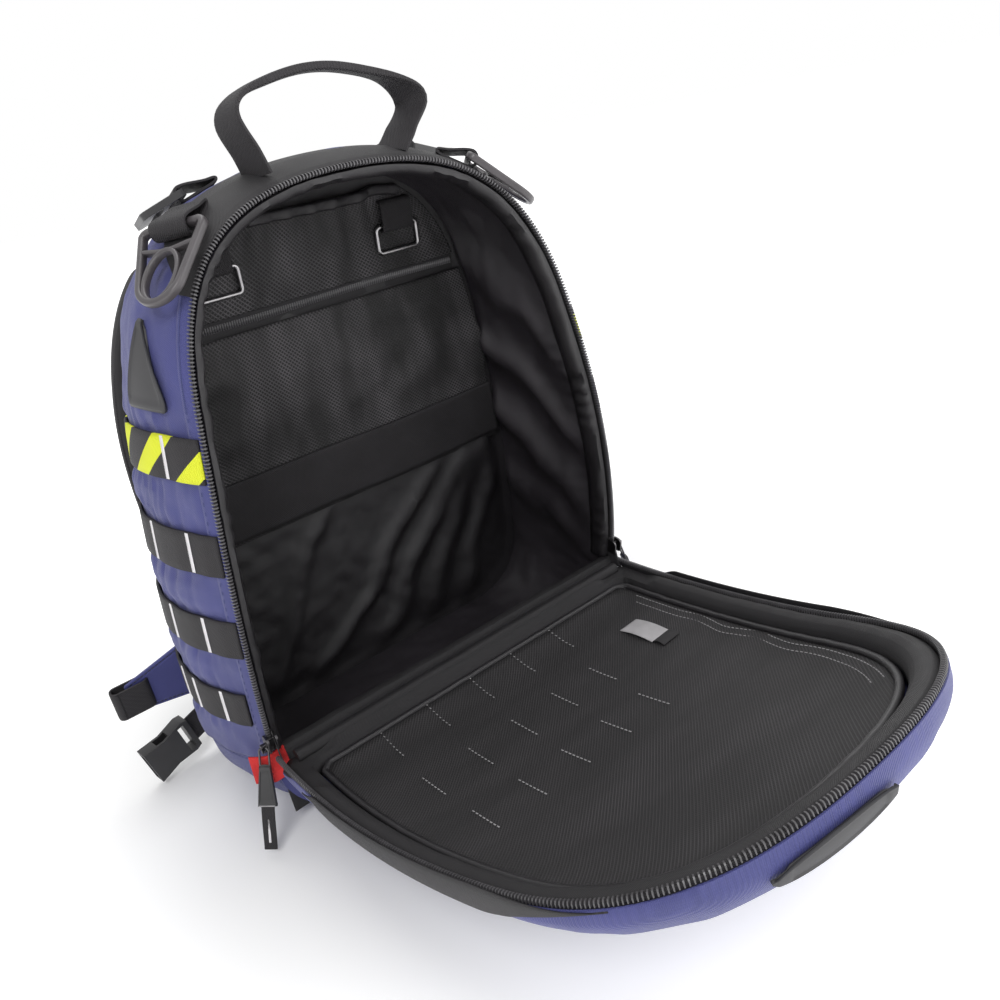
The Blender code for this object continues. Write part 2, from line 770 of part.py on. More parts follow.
def build_lid_trim():
    """What is sewn on the lid: the badge on its far edge, the care label inside and the rows on its face."""
    lines = []
    for i in range(BADGE_STEPS + 1):
        across = math.cos(math.pi * i / BADGE_STEPS)
        x = BADGE_X + BADGE_LONG / 2 * across
        edge = half_rim(q_at_x(x))
        edge.x = math.copysign(edge.x, x)
        tall = BADGE_ROLL / 2 * max(math.sqrt(1 - across**2), BADGE_TIP)
        line = []
        for j in range(BADGE_RISE_STEPS + 1):
            roll = BADGE_MIDDLE + tall * (2 * j / BADGE_RISE_STEPS - 1)
            point = lid_skin(edge, lid_inset(LID_ROLL * (1 - math.cos(roll))))
            out = Vector((0, -math.sin(roll), math.cos(roll)))
            line.append(point + out * (SEAT + BADGE_THICK))
        lines.append(line)
    shell("lid_badge", grid(lines), Vector((0, 0, LID_MIDDLE.y)), BADGE_THICK, RUBBER, LID)

    slope = math.atan2(bow(LABEL_RISE + LABEL_TALL) - bow(LABEL_RISE), LABEL_TALL)
    lie = -bow(LABEL_RISE + LABEL_TALL / 2) - LID_FLOOR + LID_MESH + LABEL_THICK / 2 + SEAT
    place = Matrix.Translation((LABEL_X, lie, LABEL_RISE + LABEL_TALL / 2))
    place = place @ Matrix.Rotation(math.pi / 2 + slope, 4, "X")
    plate("care_label", [round_box(LABEL_WIDE, LABEL_TALL, LABEL_CORNER)], LABEL_THICK, PALE, LID, place)

    for row in range(LID_ROWS):
        rise = LID_ROW_FIRST + row * ROW_PITCH
        lines = []
        for edge in (-0.5, 0.0, 0.5):
            line = []
            for i in range(ROW_STEPS + 1):
                x = LID_ROW_HALF * (2 * i / ROW_STEPS - 1)
                line.append(lid_face(x, rise + edge * WEB, LID_ROW_SEAT + WEB_THICK))
            lines.append(line)
        shell(f"lid_molle_{row + 1}", grid(lines), Vector((0, 0, rise)), WEB_THICK, WEBBING, LID)


# What is sewn on the body's skin


def skin_panel(name, side, lines, thickness, finish):
    """A sewn-on panel that follows the skin: lines of (q, v) places, thickened inwards to the seam gap."""
    rows = [[skin(side, q, v, SEAT + thickness) for q, v in line] for line in lines]
    return shell(name, grid(rows), BODY_MIDDLE, thickness, finish)


def build_skin_trim():
    for label, side in (("left", -1), ("right", 1)):
        for row in range(SIDE_ROWS):
            top = ROW_TOP - row * ROW_PITCH
            lines = []
            for z in (top, top - WEB / 2, top - WEB):
                q = q_at_z(z)
                step = (ROW_END_SHARE - ROW_START_SHARE) / ROW_STEPS
                lines.append([(q, ROW_START_SHARE + step * i) for i in range(ROW_STEPS + 1)])
            finish = HI_VIS if row == 0 else WEBBING
            skin_panel(f"molle_{label}_{row + 1}", side, lines, WEB_THICK, finish)
    lines = []
    for i in range(PATCH_STEPS + 1):
        t = i / PATCH_STEPS
        q = q_at_z(PATCH_Z + PATCH_TALL * (0.5 - t))
        taper = PATCH_TOP_SHARE + (1 - PATCH_TOP_SHARE) * t
        half = PATCH_WIDE / 2 * taper / DEPTH_FOOT * math.sqrt(1 - 0.35 * abs(2 * t - 1) ** 5)
        lines.append([(q, PATCH_V + half * (2 * j / PATCH_STEPS - 1)) for j in range(PATCH_STEPS + 1)])
    skin_panel("side_patch", -1, lines, PATCH_THICK, RUBBER)


def smooth(path, steps):
    """More points along a path, on a curve through all of them."""
    made = []
    for i in range(len(path) - 1):
        a, b = path[max(i - 1, 0)], path[i]
        c, d = path[i + 1], path[min(i + 2, len(path) - 1)]
        for k in range(steps):
            made.append(cubic(b, b + (c - a) / 6, c - (d - b) / 6, c, k / steps))
    return made + [path[-1]]


def build_handle():
    """The carry handle: a webbing hoop, waisted at its feet, that stands on the crown behind the zip."""
    foot = skin(1, q_at_x(HANDLE_HALF), HANDLE_BACK, SEAT)
    wide = HANDLE_HALF + HANDLE_BELLY
    shape = [(foot.x, 0.0), (foot.x + HANDLE_BELLY * 0.35, 0.20)]
    shape += [(wide, 0.55), (wide * 0.72, 0.90), (0.0, 1.0)]
    half = [Vector((x, foot.y, foot.z + HANDLE_SINK + HANDLE_RISE * z)) for x, z in shape]
    path = [Vector((-p.x, p.y, p.z)) for p in half[:-1]] + half[::-1]
    path = smooth(path, HANDLE_STEPS)
    ribbon("carry_handle", path, Vector((0, 1, 0)), HANDLE_WEB, HANDLE_THICK, WEBBING)


def skin_frame(side, q, v, turn=0.0):
    """A frame on the skin: X runs down the slope, Y along the bag's depth and Z outwards, turned about Z."""
    point = skin(side, q, v)
    out = (skin(side, q, v, 1.0) - point).normalized()
    down = (skin(side, q - SKIN_STEP, v) - point).normalized()
    along = out.cross(down).normalized()
    down = along.cross(out)
    frame = Matrix((down, along, out)).transposed().to_4x4()
    frame.translation = point
    return frame @ Matrix.Rotation(math.radians(turn), 4, "Z")


def web_loop(name, long, tall, frame):
    """A webbing loop that stands on its frame: a long ring in its XZ plane, one webbing wide along Y."""
    middle = (0.0, LOOP_SEAT + tall / 2)
    hole = tall - 2 * WEB_THICK
    outer = round_box(long, tall, tall / 2 - FIT, middle, LOOP_STEPS)
    inner = round_box(long - 2 * WEB_THICK, hole, hole / 2 - FIT, middle, LOOP_STEPS)
    return plate(name, [outer, inner], WEB, WEBBING, None, frame @ Matrix.Rotation(math.pi / 2, 4, "X"))


def ladder_lock(name, parent, place):
    """A ladder-lock buckle: a frame with two webbing slots between its bars."""
    outer = round_box(LOCK_LONG, LOCK_WIDE, LOCK_BAR, (LOCK_LONG / 2, 0))
    slot = WEB + 2 * LOCK_PLAY
    near = round_box(LOCK_SLOT, slot, SLOT_CORNER, (LOCK_BAR + LOCK_SLOT / 2, 0))
    far = round_box(LOCK_SLOT, slot, SLOT_CORNER, (2 * LOCK_BAR + 1.5 * LOCK_SLOT, 0))
    return plate(name, [outer, near, far], LOCK_THICK, PLASTIC, parent, place)


def d_ring_outlines():
    """Outer edge and windows of the D-ring: X along its bar, -Y the way it hangs."""
    half, bar, cut = DRING_WIDE / 2, DRING_BAR / 2, DRING_CORNER
    outer = [(half - cut, bar), (cut - half, bar), (-half, bar - cut)]
    outer += arc((0, DRING_FOOT - DRING_LONG), DRING_FOOT, 190, 350, DRING_STEPS) + [(half, bar - cut)]
    webbing = round_box(DRING_SLOT_WIDE, DRING_SLOT, cut, (0, -bar - DRING_SLOT / 2))
    oval = []
    for x, y in arc((0, 0), 1.0, 0, 360 - 360 / DRING_OVAL_STEPS, DRING_OVAL_STEPS - 1):
        oval.append((DRING_OVAL_WIDE / 2 * x, DRING_OVAL_TALL / 2 * y - DRING_OVAL_DROP))
    slots = []
    for way in (-1, 1):
        turn = Matrix.Rotation(math.radians(way * DRING_SIDE_TURN), 2)
        middle = Vector((way * DRING_SIDE_X, -DRING_SIDE_DROP))
        slot = round_box(DRING_SIDE_WIDE, DRING_SIDE_TALL, DRING_SIDE_WIDE / 2 - FIT)
        slots.append([tuple(turn @ Vector(p) + middle) for p in slot])
    return [outer, webbing, oval] + slots


def build_shoulder_hardware():
    for label, side in (("left", -1), ("right", 1)):
        frame = skin_frame(side, q_at_x(LIFTER_X), LIFTER_V)
        web_loop(f"lifter_loop_{label}", LOOP_LONG, LOOP_TALL, frame)
        hold = LOOP_LONG / 2 - WEB_THICK - LOCK_PLAY - LOCK_BAR
        place = Matrix.Translation((hold, 0, LOOP_SEAT + LOOP_TALL / 2))
        ladder_lock(f"lifter_buckle_{label}", None, frame @ place)

        frame = skin_frame(side, q_at_x(DRING_X), DRING_V, -side * DRING_TURN)
        web_loop(f"ring_loop_{label}", LOOP_LONG, RING_LOOP_TALL, frame)
        hold = (LOOP_LONG - RING_LOOP_TALL) / 2
        place = Matrix.Translation((hold, 0, LOOP_SEAT + RING_LOOP_TALL / 2))
        place = place @ Matrix.Rotation(math.radians(-DRING_LIFT), 4, "Y")
        bar = empty(f"ring_bar_{label}", frame @ place)
        plate(f"carry_ring_{label}", d_ring_outlines(), DRING_THICK, GREY_PLASTIC, bar, DRING_FACE)


# Back wall, inside: Y of the back frame points out of the bag, so inside pieces lie at negative Y


def wall_plate(name, outlines, thickness, depth, finish):
    """A flat piece on the inner face of the back wall, its near face this deep inside."""
    place = Matrix.Translation((0, -depth - thickness / 2, 0)) @ Matrix.Rotation(math.pi / 2, 4, "X")
    return plate(name, outlines, thickness, finish, BACK, place)


def wall_half(height):
    """Half the clear width of the back wall at a height up it."""
    return half_width(height * math.cos(BACK_SLANT)) - WALL * 1.4 - LINING - WALL_PLAY


def wall_strip(foot, top, steps):
    """A wall-wide outline between two heights up the back wall."""
    heights = [foot + (top - foot) * i / steps for i in range(steps + 1)]
    right = [(wall_half(h), h) for h in heights]
    return right + [(-x, h) for x, h in right[::-1]]


def build_back_wall():
    skin_in = BACK_FOAM + FIT
    wall_plate("mesh_pocket", [wall_strip(POCKET_FOOT, POCKET_TOP, 4)], POCKET_THICK, skin_in, MESH)
    zip_foot = POCKET_TOP + FIT

    half = wall_half(zip_foot + POCKET_ZIP)
    middle = zip_foot + POCKET_ZIP / 2
    tape, chain = POCKET_ZIP / 2, POCKET_CHAIN / 2
    flat, proud = skin_in + TAPE_THICK, skin_in + TAPE_THICK + POCKET_BEAD
    profile = [(-tape, skin_in), (tape, skin_in), (tape, flat), (chain, flat)]
    profile += [(chain, proud), (-chain, proud), (-chain, flat), (-tape, flat)]
    sections = [[Vector((x, -y, middle + z)) for z, y in profile] for x in (-half, half)]
    loft("pocket_zip", sections, BLACK, BACK)

    seat = empty("pocket_slider_seat", Matrix.Translation((-half + POCKET_SLIDER, -proud, middle)), BACK)
    lip, thick = chain + SLIDER_PLAY, SLIDER_PLATE
    front, hook = -SLIDER_PLAY - thick, POCKET_BEAD * POCKET_HOOK
    right = [(lip + thick, front), (lip + thick, hook), (lip, hook), (lip, -SLIDER_PLAY)]
    shape = right + [(-z, y) for z, y in right[::-1]]
    sections = [[Vector((x, y, z)) for z, y in shape] for x in (-SLIDER_WIDE / 2, SLIDER_WIDE / 2)]
    slider = loft("pocket_slider", sections, STEEL, seat)
    tape = (POCKET_PULL_WIDE, PULL_THICK, POCKET_PULL)
    pull = block("pull", tape, (0, front + FIT - PULL_THICK / 2, lip - POCKET_PULL / 2), seat)
    boolean(slider, pull, "UNION")

    band = skin_in + POCKET_THICK + FIT
    wall_plate("elastic_band", [wall_strip(BAND_FOOT, BAND_FOOT + BAND_TALL, 1)], BAND_THICK, band, WEBBING)
    for label, side in (("left", -1), ("right", 1)):
        inner_ring(label, side, skin_in)


def inner_ring(label, side, depth):
    """A steel loop in a webbing tab, high on the back wall."""
    tall, thick = RING_TAB_TALL, RING_TAB_THICK
    middle = depth + thick / 2
    outer = round_box(thick, tall, thick / 2 - FIT, (0, tall / 2 - thick / 2), 4)
    hole = thick - 2 * WEB_THICK
    inner = round_box(hole, tall - 2 * WEB_THICK, hole / 2 - FIT, (0, tall / 2 - thick / 2), 4)
    hang = Matrix.Translation((side * RING_HALF_SPAN, -middle, RING_Z))
    seat = empty(f"inner_ring_seat_{label}", hang, BACK)
    sideways = Matrix.Rotation(math.pi / 2, 4, "Y") @ Matrix.Rotation(math.pi / 2, 4, "Z")
    plate(f"ring_tab_{label}", [outer, inner], WEB, WEBBING, seat, sideways)
    loop = round_box(RING_WIDE, RING_TALL, RING_CORNER, (0, -RING_TALL / 2))
    wire(f"inner_ring_{label}", [(x, 0, z) for x, z in loop], RING_WIRE / 2, STEEL, seat)


# Harness, on the outside of the back wall


def pillow(name, wide, tall, thick, place):
    """A crowned pad with drawn-in ends, flat on its back."""
    sections = []
    for i in range(PAD_STEPS + 1):
        t = 2 * i / PAD_STEPS - 1
        draw = 1 - 0.30 * abs(t) ** 6
        crown = thick * (1 - 0.55 * t**4)
        section = [(-wide / 2 * draw, 0.0), (wide / 2 * draw, 0.0)]
        section += [(wide / 2 * draw * x, crown * y) for x, y in ((1, 0.45), (0.86, 0.85), (0.5, 1.0))]
        section += [(-wide / 2 * draw * x, crown * y) for x, y in ((0.5, 1.0), (0.86, 0.85), (1, 0.45))]
        sections.append([Vector((x, y, tall * (t + 1) / 2)) for x, y in section])
    return loft(name, sections, MESH, BACK, place)


def strap_line(t):
    """The right shoulder strap's middle line in the back frame: t is 0 at the top and 1 at its foot."""
    swing = 1 - (1 - t) ** 3
    x = STRAP_HALF_TOP + (STRAP_HALF_FOOT - STRAP_HALF_TOP) * swing
    y = STRAP_THICK / 2 + SEAT + STRAP_ARCH * math.sin(math.pi * t**0.6)
    return Vector((x, y, STRAP_TOP + (STRAP_FOOT - STRAP_TOP) * t))


def build_harness():
    for label, side in (("left", -1), ("right", 1)):
        middle = side * (PAD_GAP + PAD_WIDE) / 2
        place = Matrix.Translation((middle, SEAT, PAD_FOOT))
        pillow(f"back_pad_{label}", PAD_WIDE, PAD_TALL, PAD_THICK, place)
        shoulder_strap(label, side)
        lower_harness(label, side)


def shoulder_strap(label, side):
    sections = []
    for i in range(STRAP_STEPS + 1):
        t = i / STRAP_STEPS
        centre = strap_line(t)
        step = 0.5 / STRAP_STEPS
        ahead = strap_line(min(t + step, 1)) - strap_line(max(t - step, 0))
        out = ahead.cross(Vector((1, 0, 0))).normalized()
        if out.y < 0:
            out = -out
        half = STRAP_WIDE / 2 * (1 - 0.25 * t**3)
        section = []
        for x, y in round_box(2.0, 1.0, 0.3, steps=1):
            place = centre + Vector((x * half, 0, 0)) + out * y * STRAP_THICK
            section.append(Vector((side * place.x, place.y, place.z)))
        sections.append(section)
    loft(f"shoulder_strap_{label}", sections, BLACK, BACK)


def lower_harness(label, side):
    """The anchor wing on the back edge, the strap's lower webbing with its ladder lock, and the hip strap."""
    root, tip = FOOT_HALF - WING_ROOT, FOOT_HALF - WING_ROOT + WING_LONG
    wing = [(root, WING_Z), (root, WING_Z + WING_TALL)]
    wing += [(tip, WING_TIP_Z + WEB / 2), (tip, WING_TIP_Z - WEB / 2)]
    wing = [(side * x, z) for x, z in wing]
    flat = Matrix.Translation((0, SEAT + WING_THICK / 2, 0)) @ Matrix.Rotation(math.pi / 2, 4, "X")
    plate(f"anchor_wing_{label}", [wing], WING_THICK, NAVY, BACK, flat)

    foot = strap_line(1.0)
    lie = SEAT + WING_THICK + FIT + WEB_THICK / 2
    lock_y = lie + WEB_THICK / 2 + FIT + LOCK_THICK / 2
    lock = Vector((side * foot.x, lock_y, STRAP_FOOT - LOCK_DROP))
    down = Matrix.Rotation(math.pi / 2, 4, "Y") @ Matrix.Rotation(math.pi / 2, 4, "X")
    ladder_lock(f"strap_adjuster_{label}", BACK, Matrix.Translation(lock) @ down)
    path = [
        Vector((side * foot.x, lie, STRAP_FOOT - 2 * WEB_THICK)),
        Vector((side * foot.x, lie, lock.z - LOCK_LONG * 0.9)),
        Vector((side * (foot.x + WEB * 0.3), lie, WING_TIP_Z + WEB * 0.4)),
        Vector((side * (tip - WEB * 0.2), lie, WING_TIP_Z)),
    ]
    across = []
    for i, point in enumerate(path):
        ahead = path[min(i + 1, len(path) - 1)] - path[max(i - 1, 0)]
        across.append(ahead.cross(Vector((0, 1, 0))))
    ribbon(f"strap_webbing_{label}", path, across, WEB * 0.9, WEB_THICK, WEBBING, BACK)

    start = Vector((side * (FOOT_HALF - WING_ROOT), SEAT + WEB_THICK, HIP_Z))
    end = Vector((side * (FOOT_HALF + HIP_OUT), SEAT + WEB_THICK - HIP_FORWARD, HIP_Z - HIP_DROP))
    middle = start.lerp(end, 0.5) + Vector((0, HIP_FORWARD * 0.3, WEB_THICK))
    ribbon(f"hip_strap_{label}", [start, middle, end], Vector((0, 0, 1)), WEB, WEB_THICK, WEBBING, BACK)
    aim = (end - middle).normalized()
    up = Vector((0, 0, 1))
    normal = aim.cross(up).normalized()
    place = Matrix((aim, normal.cross(aim).normalized(), normal)).transposed().to_4x4()
    place.translation = end + aim * FIT
    if side < 0:
        female_buckle(f"hip_buckle_{label}", place)
    else:
        male_buckle(f"hip_buckle_{label}", place)


def female_buckle(name, place):
    """The socket half of a side-release buckle: a waisted hollow body with side windows and a webbing bar."""
    half = BUCKLE_WIDE / 2
    body = [(0, half * 0.9), (BUCKLE_SLOT, half), (BUCKLE_LONG * 0.55, half * 0.84), (BUCKLE_LONG, half)]
    outline = body + [(x, -y) for x, y in body[::-1]]
    buckle = plate(name, [outline], BUCKLE_THICK, PLASTIC, BACK, place)
    buckle = solid_mesh(buckle)
    mouth = (BUCKLE_LONG * 0.62, BUCKLE_WIDE - 2 * BUCKLE_WALL, BUCKLE_THICK - 2 * BUCKLE_WALL)
    socket = tool_block("socket", mouth, (BUCKLE_LONG - mouth[0] / 2 + BUCKLE_WALL, 0, 0), place)
    boolean(buckle, socket, "DIFFERENCE")
    window = (BUCKLE_LONG * 0.24, BUCKLE_WIDE * 1.2, BUCKLE_THICK - 2 * BUCKLE_WALL)
    boolean(buckle, tool_block("window", window, (BUCKLE_LONG * 0.58, 0, 0), place), "DIFFERENCE")
    slot = (BUCKLE_SLOT, WEB + 2 * LOCK_PLAY, BUCKLE_THICK * 2)
    boolean(buckle, tool_block("slot", slot, (BUCKLE_BAR + BUCKLE_SLOT / 2, 0, 0), place), "DIFFERENCE")
    paint(buckle, PLASTIC)


def male_buckle(name, place):
    """The plug half: a webbing bar, two sprung arms with barbs and a centre guide."""
    half = BUCKLE_WIDE / 2
    reach = BUCKLE_LONG * 0.95
    stem = 2 * BUCKLE_BAR + BUCKLE_SLOT
    right = [(0, half), (stem, half), (reach * 0.6, half * 0.86), (reach * 0.72, half), (reach, half * 0.62)]
    right += [(reach * 0.8, half * 0.55), (reach * 0.5, half * 0.5), (stem, half * 0.42)]
    right += [(stem, half * 0.16), (reach * 0.9, half * 0.12)]
    outline = right + [(x, -y) for x, y in right[::-1]]
    slot = round_box(BUCKLE_SLOT, WEB + 2 * LOCK_PLAY, SLOT_CORNER, (BUCKLE_BAR + BUCKLE_SLOT / 2, 0))
    plate(name, [outline, slot], BUCKLE_THICK - 2 * BUCKLE_WALL - 2 * LOCK_PLAY, PLASTIC, BACK, place)


def tool_block(name, size, centre, place):
    tool = block(name, size, centre, BACK)
    tool.matrix_local = place
    return tool


def main():
    build_body()
    build_zip()
    build_zip_tab()
    build_lid()
    build_skin_trim()
    build_handle()
    build_shoulder_hardware()
    build_back_wall()
    build_harness()


BACK = empty("back_frame", Matrix.Translation((0, back_y(0), 0)) @ Matrix.Rotation(BACK_SLANT, 4, "X"))
LID = empty(
    "lid_hinge", Matrix.Translation((0, Y_RIM, HINGE_Z)) @ Matrix.Rotation(math.radians(LID_ANGLE), 4, "X")
)
DRING_FACE = Matrix.Rotation(math.pi / 2, 4, "Z")
main()
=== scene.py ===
"""The looks of an open clamshell trauma backpack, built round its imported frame.

Metres, in the frame of the solids: +Z up, the opening and the open lid face -Y.
"""

import json
import math

import bpy
import numpy as np
from mathutils import Matrix, Vector, noise


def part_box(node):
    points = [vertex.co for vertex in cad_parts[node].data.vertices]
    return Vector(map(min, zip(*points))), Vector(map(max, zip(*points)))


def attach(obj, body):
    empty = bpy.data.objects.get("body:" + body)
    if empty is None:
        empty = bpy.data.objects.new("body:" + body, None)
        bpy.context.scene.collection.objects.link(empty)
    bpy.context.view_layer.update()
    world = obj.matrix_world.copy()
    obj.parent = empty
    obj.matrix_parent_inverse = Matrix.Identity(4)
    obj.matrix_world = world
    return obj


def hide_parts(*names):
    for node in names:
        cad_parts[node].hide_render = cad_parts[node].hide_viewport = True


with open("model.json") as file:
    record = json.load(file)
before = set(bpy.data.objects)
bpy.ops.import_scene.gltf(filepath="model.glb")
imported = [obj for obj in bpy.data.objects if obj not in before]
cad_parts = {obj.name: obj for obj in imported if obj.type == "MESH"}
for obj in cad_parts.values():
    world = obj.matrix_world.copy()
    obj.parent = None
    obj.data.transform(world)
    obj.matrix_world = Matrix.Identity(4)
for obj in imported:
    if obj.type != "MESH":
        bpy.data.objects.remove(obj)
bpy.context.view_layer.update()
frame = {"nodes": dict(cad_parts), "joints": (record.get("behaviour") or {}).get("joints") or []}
JOINTS = {joint["name"]: joint for joint in frame["joints"]}
SIDES = (("left", -1), ("right", 1))

# Camera, at the photograph's viewing angle
CAMERA_PLACE = Vector((-0.24975, -0.54411, 0.40194))
CAMERA_AZIMUTH = math.radians(-33.0)
CAMERA_ELEVATION = math.radians(23.2303)
CAMERA_ROLL = math.radians(-11.7713)
CAMERA_LENS = 30.4184

# The solids' driving dimensions
HINGE_Z = 0.070
RIM_HEIGHT = 0.332
FOOT_HALF = 0.155
SHOULDER_HALF = 0.134
SHOULDER_RISE = 0.225
RIM_BOW = 0.020
LID_ANGLE = math.radians(76.0)
DEPTH_FOOT = 0.150
DEPTH_TOP = 0.085
BASE_RADIUS = 0.055
SEAM_Z = 0.060
LEFT_BULGE = 0.018
RIGHT_BULGE = 0.004
TOP_BULGE = 0.008
WALL = 0.004
LINING_PLAY = 0.0012
LINING_BACK = 0.0064
BACK_FOAM = 0.006
ZIP_TAPE = 0.008
CHAIN_GAP = 0.0016
LID_START = CHAIN_GAP + 0.0003
LID_SIDE = 0.026
LID_FAR = 0.036
LID_DOME = 0.006
LID_HEM = 0.011
LID_ROLL = 0.034
LID_LEAN = 2.4
LID_CUT = 0.007
LID_FLOOR = 0.017
LID_MIDDLE = np.array((0.0, 0.150))
PIPING = 0.0075
WEB = 0.025
WEB_THICK = 0.0018
ROW_PITCH = 0.055
ROW_TOP = 0.282
SIDE_ROWS = 4
SEAT = 0.0006
PANEL_THICK = 0.003
THIN_CLOTH = 0.0008
RUBBER_THICK = 0.002
Y_RIM = -DEPTH_FOOT / 2
TOP_Z = HINGE_Z + RIM_HEIGHT
BACK_SLANT = math.atan2(DEPTH_FOOT - DEPTH_TOP, TOP_Z)
BODY_MIDDLE = np.array((0.0, 0.0, HINGE_Z + RIM_HEIGHT / 3))


# Small tools for arrays of points


def cubic(a, b, c, d, t):
    u = 1 - t
    return a * u**3 + b * 3 * u * u * t + c * 3 * u * t * t + d * t**3


def ease(low, high, x):
    """A smooth step from 0 at low to 1 at high."""
    t = np.clip((x - low) / (high - low), 0.0, 1.0)
    return t * t * (3 - 2 * t)


def cloud(x, y, size, seed):
    """Smooth noise between about -1 and 1 over two coordinates, with features of about this size."""
    x, y = np.broadcast_arrays(np.asarray(x, float), np.asarray(y, float))
    flat = [noise.noise((a, b, seed)) for a, b in zip(x.ravel() / size, y.ravel() / size)]
    return np.array(flat).reshape(x.shape)


def clouds(x, y, *waves):
    """A sum of clouds, each given as its height, size and seed."""
    return sum(height * cloud(x, y, size, seed) for height, size, seed in waves)


def ridge(distance, width):
    """The cross-section of a soft fold at a distance from its crest."""
    return np.exp(-((distance / width) ** 2))


def lengths(points):
    """Distance along a line of points, from its start."""
    steps = np.linalg.norm(np.diff(points, axis=0), axis=1)
    return np.concatenate([[0.0], np.cumsum(steps)])


def resample(points, count, closed=False):
    """Points at even distances along a line."""
    line = np.vstack([points, points[:1]]) if closed else np.asarray(points, float)
    run = lengths(line)
    at = np.linspace(0, run[-1], count, endpoint=not closed)
    return np.stack([np.interp(at, run, line[:, k]) for k in range(line.shape[1])], axis=1)


def smooth(points, count, closed=False):
    """A smooth curve through a few points, sampled at even distances."""
    points = np.asarray(points, float)
    many = len(points)
    made = []
    for i in range(many if closed else many - 1):
        pick = [(i + k) % many if closed else min(max(i + k, 0), many - 1) for k in (-1, 0, 1, 2)]
        a, b, c, d = points[pick]
        for t in np.linspace(0, 1, 12, endpoint=False):
            made.append(cubic(b, b + (c - a) / 6, c - (d - b) / 6, c, t))
    if not closed:
        made.append(points[-1])
    return resample(np.array(made), count, closed)


def unit(vectors):
    return vectors / (np.linalg.norm(vectors, axis=-1, keepdims=True) + 1e-12)


def normals(grid, away, closed=False):
    """Unit normals of a grid of points, looking away from a middle point."""
    wide = np.pad(grid, ((1, 1), (0, 0), (0, 0)), mode="wrap") if closed else grid
    found = np.cross(np.gradient(wide, axis=0), np.gradient(wide, axis=1))
    found = unit(found[1:-1] if closed else found)
    return -found if ((grid - away) * found).sum() < 0 else found


def lifted(grid, out, away, closed=False):
    """A grid moved out along its normals."""
    return grid + normals(grid, away, closed) * np.asarray(out)[..., None]


def axes(matrix):
    """A frame's three directions."""
    return np.array(matrix.to_3x3()).T


def place(points, matrix):
    """Points of a frame, in the world."""
    return np.asarray(points, float) @ axes(matrix) + np.array(matrix.translation)


def frame_of(x, y, z, at):
    """A frame from its three directions and its place."""
    return Matrix.Translation(at) @ Matrix((x, y, z)).transposed().to_4x4()


def join(*parts):
    """Points from their coordinates; a plain number holds for all of them."""
    return np.stack(np.broadcast_arrays(*parts), axis=-1)


# Rim of the opening and ring round the body, by distance from the left hinge corner


def half_rim(q):
    """(half width, rise) of the rim, q from the hinge corner, 0, to the crown, 1."""
    q = np.asarray(q, float)[:, None]
    foot, crown = np.array((FOOT_HALF, 0.0)), np.array((0.0, RIM_HEIGHT))
    shoulder = np.array((SHOULDER_HALF, SHOULDER_RISE))
    lean = 0.31 * np.array((1.9 * (SHOULDER_HALF - FOOT_HALF), SHOULDER_RISE))
    low = cubic(foot, foot + (0, 0.40 * SHOULDER_RISE), shoulder - lean, shoulder, 2 * q)
    out = shoulder + lean * (0.70 * (RIM_HEIGHT - SHOULDER_RISE) / lean[1])
    high = cubic(shoulder, out, crown + (0.63 * SHOULDER_HALF, 0), crown, 2 * q - 1)
    return np.where(q <= 0.5, low, high)


def ring_line():
    """The body's outline as (x, z): up the left side, over the crown, down the right and under the base."""
    half = half_rim(np.linspace(0, 1, 241)) + (0, HINGE_Z)
    arch = np.vstack([half * (-1, 1), half[-2::-1]])
    turn = np.linspace(0, math.pi / 2, 25)
    corner = BASE_RADIUS * join(np.cos(turn), 1 - np.sin(turn))
    right = corner + (FOOT_HALF - BASE_RADIUS, 0)
    return arch, np.vstack([arch, right, right[::-1] * (-1, 1)])


ARCH, RING = ring_line()
ARCH_LONG = lengths(ARCH)[-1]
RING_LOOP = np.vstack([RING, RING[:1]])
RING_RUN = lengths(RING_LOOP)
RING_LONG = RING_RUN[-1]
HALF_ARCH = ARCH[: len(ARCH) // 2 + 1]
HALF_RUN = RING_RUN[: len(HALF_ARCH)]


def ring(s):
    """Points (x, z) of the ring at distances from the left hinge corner."""
    s = np.mod(s, RING_LONG)
    return np.stack([np.interp(s, RING_RUN, RING_LOOP[:, k]) for k in (0, 1)], axis=-1)


def ring_out(s):
    """Outward unit normals (x, z) of the ring."""
    step = 1e-4
    ahead = ring(np.asarray(s) + step) - ring(np.asarray(s) - step)
    return unit(join(-ahead[..., 1], ahead[..., 0]))


def height_at(z, side):
    """Distance along the ring to a height on one side."""
    s = np.interp(z, HALF_ARCH[:, 1], HALF_RUN)
    return s if side < 0 else ARCH_LONG - s


def bow(rise):
    """How far the rim stands forward of a straight line from hinge to crown."""
    t = np.clip(rise / RIM_HEIGHT, 0.0, 1.0)
    return RIM_BOW * 4 * t * (1 - t)


def back_y(z):
    """The back wall's place at a height."""
    return Y_RIM + DEPTH_FOOT - (DEPTH_FOOT - DEPTH_TOP) * z / TOP_Z


def body_grid(s, v):
    """The body's skin: rows by distance along the ring, columns by depth, 0 at the rim and 1 at the back."""
    xz = ring(np.asarray(s, float))
    x, z = xz[:, :1], xz[:, 1:]
    v = np.broadcast_to(v, (len(xz), np.shape(v)[-1]))
    rise = z - HINGE_Z
    front = Y_RIM + ZIP_TAPE - bow(rise)
    swell = 4 * v * (1 - v)
    lift = TOP_BULGE * swell * np.maximum(rise / RIM_HEIGHT, 0)
    wide = x * (1 + np.where(x < 0, LEFT_BULGE, RIGHT_BULGE) / FOOT_HALF * swell)
    return join(wide, front + (back_y(z) - front) * v, z + lift)


def on_skin(s, v, out):
    """Points over the body's skin, that far out of it."""
    return lifted(body_grid(s, v), out, BODY_MIDDLE)


